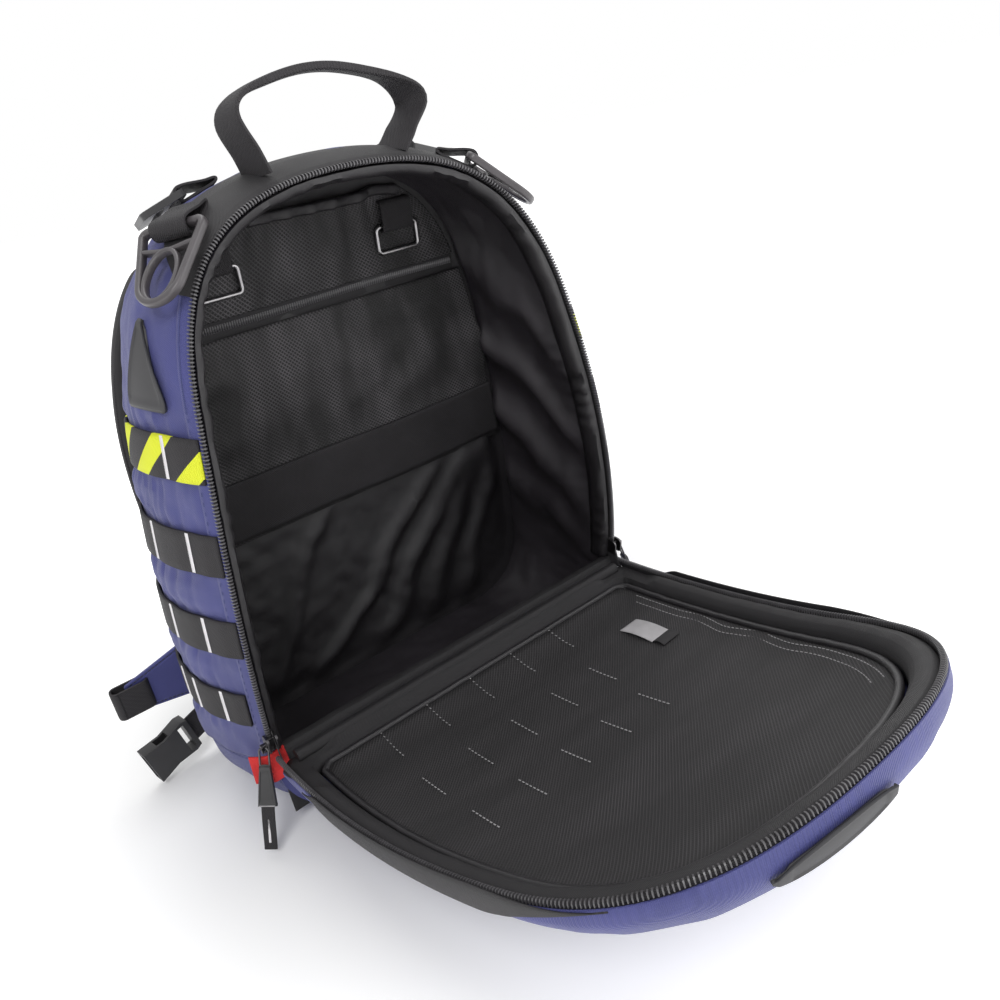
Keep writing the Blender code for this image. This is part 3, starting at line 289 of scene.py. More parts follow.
BACK = Matrix.Translation((0, back_y(0), 0)) @ Matrix.Rotation(BACK_SLANT, 4, "X")
LID = Matrix.Translation((0, Y_RIM, HINGE_Z)) @ Matrix.Rotation(LID_ANGLE, 4, "X")
BACK_AXES, LID_AXES = axes(BACK), axes(LID)


# Materials


class Nodes:
    """A node tree, built up node by node."""

    def __init__(self, tree):
        self.tree = tree

    def fill(self, node, values):
        for key, value in values.items():
            if isinstance(value, bpy.types.NodeSocket):
                self.tree.links.new(value, node.inputs[key])
            else:
                node.inputs[key].default_value = value

    def add(self, kind, values=None, pick=0, **settings):
        node = self.tree.nodes.new("ShaderNode" + kind)
        for key, value in settings.items():
            setattr(node, key, value)
        self.fill(node, values or {})
        return node.outputs[pick]

    def math(self, operation, *values):
        return self.add("Math", dict(enumerate(values)), operation=operation)

    def mix(self, share, dark, light):
        """A mix of two colours, each given as a colour or a socket."""
        values = {0: share}
        for key, shade in ((6, dark), (7, light)):
            values[key] = shade if isinstance(shade, bpy.types.NodeSocket) else (*shade, 1.0)
        return self.add("Mix", values, 2, data_type="RGBA")


class Finish(Nodes):
    """A Principled material with a slot of the record."""

    def __init__(self, name, slot, colour, roughness, **sockets):
        self.slot = slot
        self.material = bpy.data.materials.new(name)
        self.material.use_nodes = True
        super().__init__(self.material.node_tree)
        self.shader = self.tree.nodes["Principled BSDF"]
        self.fill(self.shader, {"Base Color": (*colour, 1.0), "Roughness": roughness, **sockets})

    def cloth(self):
        """The two cloth coordinates, in metres along and across the piece."""
        point = self.add("Attribute", pick="Vector", attribute_name="cloth")
        split = self.tree.nodes.new("ShaderNodeSeparateXYZ")
        self.fill(split, {0: point})
        return split.outputs[0], split.outputs[1]

    def wave(self, value, pitch):
        """A sine of a coordinate, one turn for each pitch."""
        return self.math("SINE", self.math("MULTIPLY", value, 2 * math.pi / pitch))

    def weave(self, along, across):
        """A plain weave's height, from the pitch of its threads each way."""
        u, v = self.cloth()
        return self.math("MULTIPLY", self.wave(u, along), self.wave(v, across))

    def speckle(self, scale, detail=3.0):
        """Noise in the object's space, from 0 to 1."""
        spot = self.add("TexCoord", pick="Object")
        return self.add("TexNoise", {"Vector": spot, "Scale": scale, "Detail": detail})

    def shades(self, share, dark, light):
        """Sends a mix of two colours to the base colour."""
        self.fill(self.shader, {"Base Color": self.mix(share, dark, light)})

    def rough(self, share, low, high):
        self.fill(self.shader, {"Roughness": self.add("MapRange", {0: share, 3: low, 4: high})})

    def bump(self, height, depth, strength=1.0):
        values = {"Height": height, "Distance": depth, "Strength": strength}
        self.fill(self.shader, {"Normal": self.add("Bump", values)})


def woven(name, slot, dark, light, threads, mix, patch, rough, depth, grain=None, **sockets):
    """A plain weave of two shades in soft patches, its threads mixed in; grain adds noise to its bump."""
    made = Finish(name, slot, light, rough[0], **sockets)
    weave = made.weave(*threads)
    spots = made.speckle(*patch)
    made.shades(made.math("ADD", made.math("MULTIPLY", weave, mix), spots), dark, light)
    if len(rough) > 1:
        made.rough(spots, *rough)
    if grain:
        weave = made.math("ADD", weave, made.math("MULTIPLY", made.speckle(grain[0]), grain[1]))
    made.bump(weave, depth)
    return made


def black_lining(name, dark, light, shine):
    """A thin glossy lining cloth."""
    return woven(name, "black_nylon", dark, light, (0.0007, 0.0007), 0.0, (30.0, 4.0), (0.28, 0.42), 0.00008,
                 (160.0, 1.0), **{"Specular IOR Level": shine})


def mesh_cloth(name, pitch, thread, hole, second=1.0, low=0.7):
    """A knitted mesh: crossing threads, light on the dark of the holes.

    Second is the weight of the weaker threads, and low how much of their colour stays in the painted fold
    shade: a noise stretched across the cloth darkens the threads in long streaks where folds would lie in
    shade.
    """
    made = Finish(name, "black_mesh", thread, 0.7)
    u, v = made.cloth()
    lines = []
    for turn, weight in ((1.0, 1.0), (-1.0, second)):
        slant = made.math("ADD", u, made.math("MULTIPLY", v, turn))
        line = made.math("ABSOLUTE", made.wave(slant, 2 * math.sqrt(2) * pitch))
        lines.append(made.math("MULTIPLY", line, weight))
    threads = made.math("MAXIMUM", *lines)
    share = made.add("MapRange", {0: threads, 1: 0.70, 2: 0.96}, interpolation_type="SMOOTHSTEP")
    # Painted fold shade: a noise stretched along the cloth, whose dark streaks take the threads' colour down
    # towards low.
    spot = made.add("CombineXYZ", {0: made.math("MULTIPLY", u, 11.0), 1: made.math("MULTIPLY", v, 34.0)})
    fold = made.add("TexNoise", {"Vector": spot, "Scale": 1.0, "Detail": 2.0})
    threads_in_painted_fold_shade = made.math("MULTIPLY", share, made.add("MapRange", {0: fold, 1: 0.38, 2: 0.66, 3: low, 4: 1.0}))
    made.shades(threads_in_painted_fold_shade, hole, thread)
    made.bump(share, 0.0004)
    return made


def webbing(name):
    return woven(name, name if name == HI_VIS_WEB else "black_webbing", (0.011, 0.010, 0.0112),
                 (0.030, 0.0275, 0.031), WEB_THREADS, 0.25, (45.0, 4.0), (0.58, 0.74), 0.00025,
                 **{"Specular IOR Level": 0.35})


def hi_vis_webbing():
    """Black webbing with yellow slanted bars."""
    made = webbing(HI_VIS_WEB)
    u, v = made.cloth()
    slant = made.math("ADD", v, made.math("MULTIPLY", u, HI_VIS_SLANT))
    turn = made.math("FRACT", made.math("DIVIDE", made.math("ADD", slant, HI_VIS_START), HI_VIS_PITCH))
    bar = made.math("LESS_THAN", turn, HI_VIS_SHARE)
    black = made.shader.inputs["Base Color"].links[0].from_socket
    shade = made.add("MapRange", {0: made.weave(*WEB_THREADS), 1: -1.0, 2: 1.0, 3: 0.85, 4: 1.0})
    made.shades(bar, black, made.mix(shade, (0.02, 0.02, 0.01), (0.80, 0.86, 0.03)))
    return made


def moulded(name, slot, dark, light, rough, patch=70.0, grain=(1400.0, 0.00006, 0.6), **sockets):
    """Moulded plastic or rubber, or plated metal, with a fine grain."""
    made = Finish(name, slot, dark, rough[0], **sockets)
    spots = made.speckle(patch, 5.0)
    made.shades(spots, dark, light)
    made.rough(spots, *rough)
    made.bump(made.speckle(grain[0]), *grain[1:])
    return made


def plated_steel(name, dark, light):
    return moulded(name, "dark_steel", dark, light, (0.22, 0.42), 300.0, (1800.0, 0.00003), Metallic=1.0)


def ribbon_cloth(name, slot, dark, light):
    return woven(name, slot, dark, light, (0.0012, 0.0012), 0.2, (80.0,), (0.7,), 0.00015)


WEB_THREADS = 0.0020, 0.0013
HI_VIS_WEB = "hi_vis_webbing"
HI_VIS_PITCH = 0.043
HI_VIS_SHARE = 0.40
HI_VIS_SLANT = 1.10
HI_VIS_START = -0.004

NAVY = woven("navy_nylon", "navy_nylon", (0.022, 0.026, 0.122), (0.056, 0.061, 0.232), (0.0011, 0.0011),
             0.16, (24.0, 5.0), (0.55, 0.72), 0.00012, (300.0, 0.8), **{"Sheen Weight": 0.12})
# The two linings below are one black cloth in two copies: the second, lighter and glossier, is painted light
# on the body's walls and crown; the first, darker, is painted shade on the back wall's lining.
LINING = black_lining("black_lining", (0.007, 0.0062, 0.0075), (0.018, 0.0158, 0.019), 0.6)
LIT_LINING = black_lining("lit_lining", (0.0135, 0.0116, 0.0143), (0.036, 0.031, 0.0377), 0.8)
TAPE = woven("black_tape", "black_nylon", (0.0065, 0.0058, 0.0068), (0.018, 0.0163, 0.0188),
             (0.0012, 0.0009), 0.2, (60.0, 4.0), (0.52, 0.70), 0.00015)
# Each mesh below is darkened in streaks by painted fold shade; the last number given, or 0.7 when none is
# given, is how much thread colour stays there.
MESH = mesh_cloth("pocket_mesh", 0.0022, (0.085, 0.079, 0.0865), (0.0025, 0.0025, 0.0028), 0.92, 0.16)
LID_MESH = mesh_cloth("lid_mesh", 0.0017, (0.050, 0.0462, 0.050), (0.006, 0.0056, 0.0062), 0.86, 0.5)
SPACER = mesh_cloth("spacer_mesh", 0.0026, (0.045, 0.045, 0.048), (0.008, 0.008, 0.009))
WEBBING = webbing("webbing")
HI_VIS = hi_vis_webbing()
PLASTIC = moulded("dark_plastic", "dark_plastic", (0.014, 0.014, 0.015), (0.032, 0.031, 0.033), (0.32, 0.5))
GREY = moulded("grey_plastic", "grey_plastic", (0.042, 0.038, 0.041), (0.082, 0.074, 0.079), (0.28, 0.42))
RUBBER = moulded("black_rubber", "black_rubber", (0.020, 0.020, 0.022), (0.045, 0.044, 0.047), (0.5, 0.7))
# The teeth's grey, lighter than the black nylon they are made of, is a painted highlight along the coil.
TOOTH = moulded("zip_tooth", "black_nylon", (0.046, 0.044, 0.047), (0.115, 0.111, 0.118), (0.25, 0.4))
STEEL = plated_steel("plated_steel", (0.20, 0.195, 0.20), (0.42, 0.41, 0.42))
GUN_STEEL = plated_steel("gun_steel", (0.055, 0.052, 0.055), (0.14, 0.135, 0.14))
RED = ribbon_cloth("red_ribbon", "red_tab", (0.52, 0.012, 0.012), (0.78, 0.03, 0.03))
PALE = ribbon_cloth("care_label", "care_label", (0.36, 0.35, 0.36), (0.62, 0.60, 0.62))
THREAD = ribbon_cloth("white_thread", "black_webbing", (0.62, 0.60, 0.62), (0.88, 0.86, 0.88))
DARK_THREAD = ribbon_cloth("dark_thread", "black_webbing", (0.012, 0.012, 0.014), (0.05, 0.05, 0.055))
NAVY_THREAD = ribbon_cloth("navy_thread", "navy_nylon", (0.025, 0.03, 0.10), (0.06, 0.07, 0.22))
DULL_THREAD = ribbon_cloth("dull_thread", "black_mesh", (0.20, 0.195, 0.20), (0.42, 0.41, 0.42))


# Pieces


def new_object(name, data):
    obj = bpy.data.objects.new(name, data)
    bpy.context.scene.collection.objects.link(obj)
    return obj


def piece(name, points, faces, finish, body="pack", node=None, cloth=None, angle=50):
    """A mesh that rides on a body, in the place of the node given, or of the one that has its name."""
    mesh = bpy.data.meshes.new(name)
    mesh.from_pydata(np.asarray(points, float).tolist(), [], faces)
    mesh.materials.append(finish.material)
    if cloth is not None:
        flat = np.zeros((len(mesh.vertices), 3), np.float32)
        flat[:, :2] = np.asarray(cloth).reshape(-1, 2)
        mesh.attributes.new("cloth", "FLOAT_VECTOR", "POINT").data.foreach_set("vector", flat.ravel())
    mesh.shade_smooth()
    mesh.set_sharp_from_angle(angle=math.radians(angle))
    obj = new_object(name, mesh)
    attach(obj, body)
    node = node or name
    if node in frame["nodes"]:
        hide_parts(node)
    return obj


def quads(rows, columns, closed):
    """Faces of a grid of points in row order; closed joins the last row to the first."""
    index = np.arange(rows * columns).reshape(rows, columns)
    if closed:
        index = np.vstack([index, index[:1]])
    corners = index[:-1, :-1], index[1:, :-1], index[1:, 1:], index[:-1, 1:]
    return np.stack(corners, axis=-1).reshape(-1, 4).tolist()


def cloth_of(grid):
    """Cloth coordinates of a grid: distances along its rows and columns."""
    down = np.linalg.norm(np.diff(grid, axis=0), axis=-1).mean(axis=1)
    over = np.linalg.norm(np.diff(grid, axis=1), axis=-1).mean(axis=0)
    u = np.concatenate([[0.0], np.cumsum(down)])
    v = np.concatenate([[0.0], np.cumsum(over)])
    return np.stack(np.meshgrid(u, v, indexing="ij"), axis=-1)


def sheet(name, grid, thickness, finish, away=BODY_MIDDLE, closed=False, cap=False, cloth=None, **ride):
    """A cloth panel: a grid of points that faces away from a middle point, thickened towards it."""
    rows, columns = grid.shape[:2]
    faces = quads(rows, columns, closed)
    looks = np.cross(grid[1:, :-1] - grid[:-1, :-1], grid[:-1, 1:] - grid[:-1, :-1])
    if ((grid[:-1, :-1] - away) * looks).sum() < 0:
        faces = [face[::-1] for face in faces]
    if cap:
        last = [i * columns + columns - 1 for i in range(rows)]
        beside = faces[columns - 2]
        forward = any(beside[k] == last[0] and beside[(k + 1) % 4] == last[1] for k in range(4))
        faces.append(last[::-1] if forward else last)
    cloth = cloth_of(grid) if cloth is None else cloth
    obj = piece(name, grid.reshape(-1, 3), faces, finish, cloth=cloth, **ride)
    solid = obj.modifiers.new("thickness", "SOLIDIFY")
    solid.thickness = thickness
    solid.offset = -1
    solid.use_even_offset = False
    return obj


def outward(points, faces):
    """The faces of a closed form, turned so that they look outwards."""
    fans = np.array([(face[0], b, c) for face in faces for b, c in zip(face[1:], face[2:])])
    a, b, c = (points[fans[:, k]] for k in range(3))
    volume = (a * np.cross(b, c)).sum()
    return faces if volume > 0 else [face[::-1] for face in faces]


def strap(name, path, across, wide, thick, finish, sides=12, closed=False, power=5.0, **ride):
    """Webbing or cord: a rounded section carried along a path, its width along the across vectors."""
    path = np.asarray(path, float)
    count = len(path)
    if closed:
        ahead = np.roll(path, -1, axis=0) - np.roll(path, 1, axis=0)
    else:
        ahead = np.gradient(path, axis=0)
    ahead = unit(ahead)
    side = np.broadcast_to(np.asarray(across, float), path.shape)
    side = unit(side - ahead * (side * ahead).sum(axis=1, keepdims=True))
    lift = np.cross(ahead, side)
    angle = np.linspace(0, 2 * math.pi, sides, endpoint=False) + math.pi / sides
    x = np.sign(np.cos(angle)) * np.abs(np.cos(angle)) ** (2 / power)
    y = np.sign(np.sin(angle)) * np.abs(np.sin(angle)) ** (2 / power)
    wide, thick = np.broadcast_to(wide, count), np.broadcast_to(thick, count)
    rings = path[:, None] + side[:, None] * (x * wide[:, None] / 2)[..., None]
    rings = rings + lift[:, None] * (y * thick[:, None] / 2)[..., None]
    index = np.arange(count * sides).reshape(count, sides)
    rows = np.vstack([index, index[:1]]) if closed else index
    faces = []
    for near, far in zip(rows, rows[1:]):
        for i in range(sides):
            faces.append([near[i - 1], near[i], far[i], far[i - 1]])
    if not closed:
        faces += [index[0][::-1].tolist(), index[-1].tolist()]
    faces = [[int(i) for i in face] for face in faces]
    run = lengths(path)
    cloth = join(np.repeat(run[:, None], sides, 1), x * wide[:, None] / 2)
    points = rings.reshape(-1, 3)
    return piece(name, points, outward(points, faces), finish, cloth=cloth, **ride)


def wire(name, path, across, size, finish, **ride):
    """A closed loop of round section."""
    strap(name, path, across, size, size, finish, closed=True, power=2.0, **ride)


def slab(name, outline, middle, front, back, matrix, finish, rings, **ride):
    """A plate in a frame's XZ plane; front and back are flat, or given by share of the way out and point."""
    outline, middle = np.asarray(outline, float), np.asarray(middle, float)
    share = np.sin(np.linspace(0.03, 1, rings) * math.pi / 2)
    flat = middle + (outline[:, None] - middle) * share[None, :, None]
    back, front = (face(share[None, :], flat) if callable(face) else face for face in (back, front))
    near = join(flat[..., 0], back, flat[..., 1])
    far = join(flat[..., 0], front, flat[..., 1])[:, ::-1]
    grid = np.concatenate([near, far], axis=1)
    rows, columns = grid.shape[:2]
    faces = quads(rows, columns, closed=True)
    first = [i * columns for i in range(rows)]
    last = [i * columns + columns - 1 for i in range(rows)]
    faces += [first, last[::-1]]
    cloth = np.concatenate([flat, flat[:, ::-1]], axis=1)
    points = place(grid.reshape(-1, 3), matrix)
    return piece(name, points, outward(points, faces), finish, cloth=cloth, **ride)


def beads(name, spots, ahead, out, long, wide, tall, finish, **ride):
    """Sewn stitches: small ridged bars at spots, with a direction and a normal for each or for all."""
    spots, ahead, out = np.broadcast_arrays(np.asarray(spots, float), ahead, out)
    side = np.cross(out, ahead)
    foot = (-0.5, 0.5, 0), (0.5, 0.5, 0), (0.5, -0.5, 0), (-0.5, -0.5, 0)
    shape = np.array((*foot, (-0.3, 0, 1), (0.3, 0, 1))) * (long, wide, tall)
    points = spots[:, None] + ahead[:, None] * shape[None, :, :1] + side[:, None] * shape[None, :, 1:2]
    points = points + out[:, None] * shape[None, :, 2:]
    one = [(0, 1, 5, 4), (2, 3, 4, 5), (1, 2, 5), (3, 0, 4), (3, 2, 1, 0)]
    faces = [[6 * i + k for k in face] for i in range(len(spots)) for face in one]
    piece(name, points.reshape(-1, 3), faces, finish, angle=80, **ride)


SEAM_PITCH = 0.0034


def stitch_line(name, path, out, pitch, finish, wide=0.0007, **ride):
    """A seam along a path, one stitch for each pitch."""
    path, out = np.asarray(path, float), np.broadcast_to(np.asarray(out, float), np.shape(path))
    count = max(int(lengths(path)[-1] / pitch), 2)
    both = resample(np.hstack([path, out]), count)
    spots, out = both[:, :3], both[:, 3:]
    ahead = unit(np.gradient(spots, axis=0))
    out = unit(out - ahead * (out * ahead).sum(axis=1, keepdims=True))
    beads(name, spots, ahead, out, pitch * 0.7, wide, 0.0004, finish, **ride)


def harden(node, finish, radius):
    """A rigid solid that stays as it is, with rounded edges and its own finish."""
    obj = frame["nodes"][node]
    mesh = obj.data
    mesh.materials.clear()
    mesh.materials.append(finish.material)
    if "custom_normal" in mesh.attributes:
        mesh.attributes.remove(mesh.attributes["custom_normal"])
    mesh.shade_smooth()
    weld = obj.modifiers.new("weld", "WELD")
    weld.merge_threshold = 1e-5
    flat = obj.modifiers.new("flat", "DECIMATE")
    flat.decimate_type = "DISSOLVE"
    flat.angle_limit = math.radians(2)
    edge = obj.modifiers.new("edge", "BEVEL")
    edge.width = radius
    edge.segments = 3
    edge.limit_method = "ANGLE"
    edge.angle_limit = math.radians(32)
    edge.use_clamp_overlap = True
    obj.modifiers.new("shading", "WEIGHTED_NORMAL").keep_sharp = False


# Body


def row_heights():
    """Middle heights of the webbing rows on the sides."""
    return [ROW_TOP - WEB / 2 - row * ROW_PITCH for row in range(SIDE_ROWS)]


def gusset_swell(s, v):
    """How far the side cloth stands out: flat under the webbing rows, full and creased between them."""
    z = ring(s)[:, 1:]
    apart = np.min([np.abs(z - middle) for middle in row_heights()], axis=0) - WEB / 2
    inside = ease(ROW_TOP + 0.03, ROW_TOP, z) * ease(0.03, 0.06, z)
    puff = 0.0022 * ease(0.0, 0.012, apart) * inside * np.sin(math.pi * v)
    pucker = 0.0011 * np.sin(2 * math.pi * v / 0.11 + 4 * cloud(s[:, None], v, 0.05, 3.0))
    pucker = pucker * ridge(apart - 0.006, 0.010) * inside * np.sin(math.pi * v)
    drape = clouds(s[:, None], v * DEPTH_FOOT, (0.0026, 0.032, 1.0), (0.0007, 0.011, 2.0))
    clear = ease(0.0, 0.008, apart) * inside + (1 - inside)
    return (puff + pucker + drape * clear) * ease(0.0, 0.06, v) * ease(1.0, 0.94, v)


def build_body():
    """The side and base panels, their seams, and the hem and guard over the body's zip."""
    drop = HINGE_Z - SEAM_Z - 0.0004
    s = np.linspace(-drop, ARCH_LONG + drop, 420)
    v = np.linspace(0, 1, 56)
    sheet("side_gusset", on_skin(s, v, gusset_swell(s, v[None, :])), PANEL_THICK, NAVY)

    s = np.linspace(ARCH_LONG + drop + 0.0006, RING_LONG - drop - 0.0006, 220)
    z = ring(s)[:, 1:]
    fold = 0.0016 * cloud(s[:, None] * 2.2, v[None, :] * DEPTH_FOOT, 0.030, 5.0) * ease(0.004, 0.03, z)
    fold = fold * ease(0.0, 0.06, v[None, :]) * ease(1.0, 0.94, v[None, :]) * ease(SEAM_Z, SEAM_Z - 0.012, z)
    grid = on_skin(s, v, fold)
    grid[..., 2] = np.maximum(grid[..., 2], 0.0)
    sheet("base_panel", grid, PANEL_THICK, NAVY)
    for label, side in SIDES:
        seam = height_at(HINGE_Z, side) + side * (HINGE_Z - SEAM_Z + 0.003)
        skin_stitches(f"base_seam_{label}", seam, np.linspace(0.03, 0.97, 60), 0.0032)
    edge = np.linspace(0.0, ARCH_LONG, 500)
    at = np.array([at for at, _ in ZIP_HEM])[None, :]
    out = np.array([out for _, out in ZIP_HEM])[None, :]
    v = at / skin_depth(edge)[:, None]
    sheet("zip_hem", on_skin(edge, v, out), 0.0006, NAVY)
    for label, side in SIDES:
        low = np.array([height_at(z, side) for z in np.linspace(HINGE_Z, CROWN_FOOT, 160)])
        skin_stitches(f"rim_seam_{label}", low, 0.0016 / skin_depth(low), out=0.0014)
    top = edge[ring(edge)[:, 1] > CROWN_FOOT]
    crown = ease(CROWN_FOOT, CROWN_FOOT + 0.032, ring(top)[:, 1:])
    v = (at + CROWN_WIDE * ease(-0.002, 0.003, at) * crown) / skin_depth(top)[:, None]
    sheet("crown_guard", on_skin(top, v, out + 0.0007), 0.0006, TAPE)
    skin_stitches("back_seam", edge, 0.965)


def skin_depth(s):
    """The body's depth from rim to back at distances along the ring."""
    z = ring(s)[:, 1]
    return back_y(z) - (Y_RIM + ZIP_TAPE - bow(z - HINGE_Z))


ZIP_HEM = (
    (-0.0040, -0.0012), (-0.0036, 0.0003), (-0.0014, 0.0010),
    (0.0010, 0.0012), (0.0034, 0.0010), (0.0040, 0.0001),
)
CROWN_FOOT, CROWN_WIDE = 0.352, 0.030


def skin_stitches(name, s, v, pitch=SEAM_PITCH, out=0.0004):
    """A navy seam over the body's skin, along places given by ring distance and depth."""
    points, _, looks = skin_spots(s, v, out)
    stitch_line(name, points, looks, pitch, NAVY_THREAD)


def lining_folds(s, v):
    """Folds of the loose lining: pleats at the rim, slanted drapes on the side walls and small creases."""
    deep = v * DEPTH_FOOT
    z = ring(s)[:, 1:]
    x = ring(s)[:, :1]
    pleat = 0.5 + 0.5 * np.sin(2 * math.pi * s[:, None] / 0.0125 + 3.5 * cloud(s[:, None], deep, 0.045, 7.0))
    strong = ease(-0.35, 0.5, cloud(s[:, None], 0, 0.07, 8.0))
    folds = 0.0026 * pleat * strong * np.exp(-deep / 0.030) * ease(0.0, 0.012, deep)
    walls = ease(0.09, 0.12, np.abs(x))
    for front, back, size, width in LINING_DRAPES:
        crest = front + (back - front) * v + 0.010 * cloud(deep, z, 0.05, front * 90)
        folds = folds + size * ridge(z - crest, width) * walls * ease(0.02, 0.3, v)
    folds = folds + 0.0024 * (0.5 + cloud(s[:, None] * 0.7, deep, 0.060, 11.0)) * ease(0.02, 0.12, v)
    folds = folds + 0.0009 * cloud(s[:, None], deep, 0.017, 12.0) * ease(0.05, 0.2, v)
    return np.maximum(folds, 0.0) * ease(1.0, 0.86, v)


LINING_DRAPES = (
    (0.100, 0.200, 0.0100, 0.018),
    (0.165, 0.260, 0.0085, 0.015),
    (0.235, 0.330, 0.0060, 0.018),
    (0.075, 0.120, 0.0070, 0.014),
)


def build_lining():
    """The loose lining, and the binding round the rim."""
    s = np.linspace(0, RING_LONG, 520, endpoint=False)
    v = np.linspace(0, 1, 60)[None, :] * (1 - LINING_BACK / skin_depth(s))[:, None]
    grid = lifted(body_grid(s, v), -WALL - LINING_PLAY - lining_folds(s, v), BODY_MIDDLE, closed=True)
    # The lighter, glossier copy of the lining: painted light on the walls and crown.
    made = sheet("body_lining", grid, THIN_CLOTH, LIT_LINING, closed=True)

    s = np.linspace(0.0, ARCH_LONG, 460)
    rows = []
    pleat = np.sin(2 * math.pi * s / 0.019 + 9 * cloud(s, 0, 0.05, 22.0))
    pleat = pleat * ease(-0.4, 0.3, cloud(s, 0, 0.08, 23.0))
    for inwards, deep, loose in RIM_BINDING:
        wave = 1 + 0.10 * cloud(s, deep * 30, 0.03, 21.0) + loose * pleat
        xz = ring(s) - ring_out(s) * (inwards * wave)[:, None]
        rows.append(join(xz[:, 0], Y_RIM - bow(ring(s)[:, 1] - HINGE_Z) + deep, xz[:, 1]))
    sheet("rim_binding", np.stack(rows, axis=1), 0.0007, LINING)


RIM_BINDING = (
    (0.0044, 0.0058, 0.0), (0.0054, 0.0044, 0.03), (0.0078, 0.0048, 0.05),
    (0.0098, 0.0080, 0.08), (0.0096, 0.0150, 0.09), (0.0080, 0.0210, 0.0),
)


# Main zip

TOOTH_PITCH, TOOTH_WIDE, TOOTH_LONG = 0.0021, 0.0035, 0.0008
TOOTH_FOOT, TOOTH_TALL = 0.0034, 0.0027


def zip_half(name, way, matrix, body):
    """One half of the main zip: its tape, and a row of teeth on the tape's free edge."""
    s = np.linspace(0.002, ARCH_LONG - 0.002, 420)
    xz, out = ring(s), ring_out(s)
    rise = xz[:, 1] - HINGE_Z
    rows = []
    for deep, wave in ((0.0026, 0.0), (0.0040, 0.0002), (0.0060, 0.0003), (ZIP_TAPE - 0.0004, 0.0)):
        at = xz - out * (WALL / 2 - wave * cloud(s, 0, 0.02, 31.0))[:, None]
        rows.append(join(at[:, 0], way * deep - bow(rise), at[:, 1] - HINGE_Z))
    grid = place(np.stack(rows, axis=1), matrix)
    sheet(name, grid, 0.0010, TAPE, away=place((0, 0, RIM_HEIGHT / 3), matrix), body=body)

    count = int(ARCH_LONG / TOOTH_PITCH) - 2
    s = (np.arange(count) + (1.25 if way > 0 else 1.75)) * TOOTH_PITCH
    xz, out = ring(s), ring_out(s)
    ahead = join(out[:, 1], -out[:, 0])
    centre = xz - out * WALL / 2 - (0, HINGE_Z)
    points = []
    section = ((-0.5, 0.0), (0.5, 0.0), (0.42, 0.7), (0.22, 1.0), (-0.22, 1.0), (-0.42, 0.7))
    for end in (-1, 1):
        for across, deep in section:
            flat = centre + out * across * TOOTH_WIDE + ahead * end * TOOTH_LONG / 2 * (0.7 + 0.3 * deep)
            y = way * (TOOTH_FOOT - TOOTH_TALL * deep) - bow(xz[:, 1] - HINGE_Z)
            points.append(join(flat[:, 0], y, flat[:, 1]))
    points = np.stack(points, axis=1)
    one = [[0, 1, 2, 3, 4, 5], [11, 10, 9, 8, 7, 6]]
    one += [[(i + 1) % 6, i, i + 6, (i + 1) % 6 + 6] for i in range(6)]
    if way < 0:
        one = [face[::-1] for face in one]
    faces = [[12 * k + i for i in face] for k in range(count) for face in one]
    piece(f"{name}_teeth", place(points.reshape(-1, 3), matrix), faces, TOOTH, body=body, angle=30)


# Lid


def lid_outline():
    """The lid's outline as (x, rise), closed: from the right corner over the crown, then along the hinge."""
    arch = ARCH - (0, HINGE_Z)
    arch = arch[arch[:, 1] >= LID_START + LID_CUT]
    hinge = [(-FOOT_HALF + LID_CUT, LID_START), (FOOT_HALF - LID_CUT, LID_START)]
    return resample(np.vstack([arch[::-1], hinge]), 420, closed=True)


def lid_inset(distance):
    """What a line of the lid's plan shrinks by to lie that far in from the hinge."""
    return 1 - distance / LID_MIDDLE[1]


def lid_skin(edge, shrink):
    """The lid's skin over outline points shrunk towards the middle: a rolled edge, then a domed face."""
    flat = LID_MIDDLE + (edge - LID_MIDDLE) * shrink
    full = np.clip(edge[:, 1] / RIM_HEIGHT, 0, 1) ** 3
    deep = LID_SIDE + (LID_FAR - LID_SIDE) * full
    roll = (1 - shrink) * LID_MIDDLE[1] / LID_ROLL
    if roll <= 1:
        lean_edge, round_edge = 1 - (1 - roll) ** LID_LEAN, math.sqrt(max(1 - (1 - roll) ** 2, 0))
        deep = LID_HEM + (deep - LID_HEM) * (lean_edge + (round_edge - lean_edge) * full)
    else:
        share = shrink / lid_inset(LID_ROLL)
        deep = LID_SIDE + (deep - LID_SIDE) * share + LID_DOME * (1 - share**2)
    return join(flat[:, 0], -bow(flat[:, 1]) - deep, flat[:, 1])


def lid_loop(edge, inset, deep):
    """A loop inside the lid, its outline moved in, at a depth below the rim."""
    flat = LID_MIDDLE + (edge - LID_MIDDLE) * lid_inset(inset)
    return join(flat[:, 0], -bow(flat[:, 1]) - deep, flat[:, 1])


LID_EDGE = lid_outline()
LID_AWAY = place((0, 0, LID_MIDDLE[1]), LID)


def in_lid(rows):
    """A grid of lid loops, as columns, in the world."""
    return place(np.stack(rows, axis=1), LID)


def flat_cloth(grid):
    """Cloth coordinates of a lid panel: across the lid and up from its hinge."""
    return ((grid - np.array(LID.translation)) @ LID_AXES.T)[..., [0, 2]]


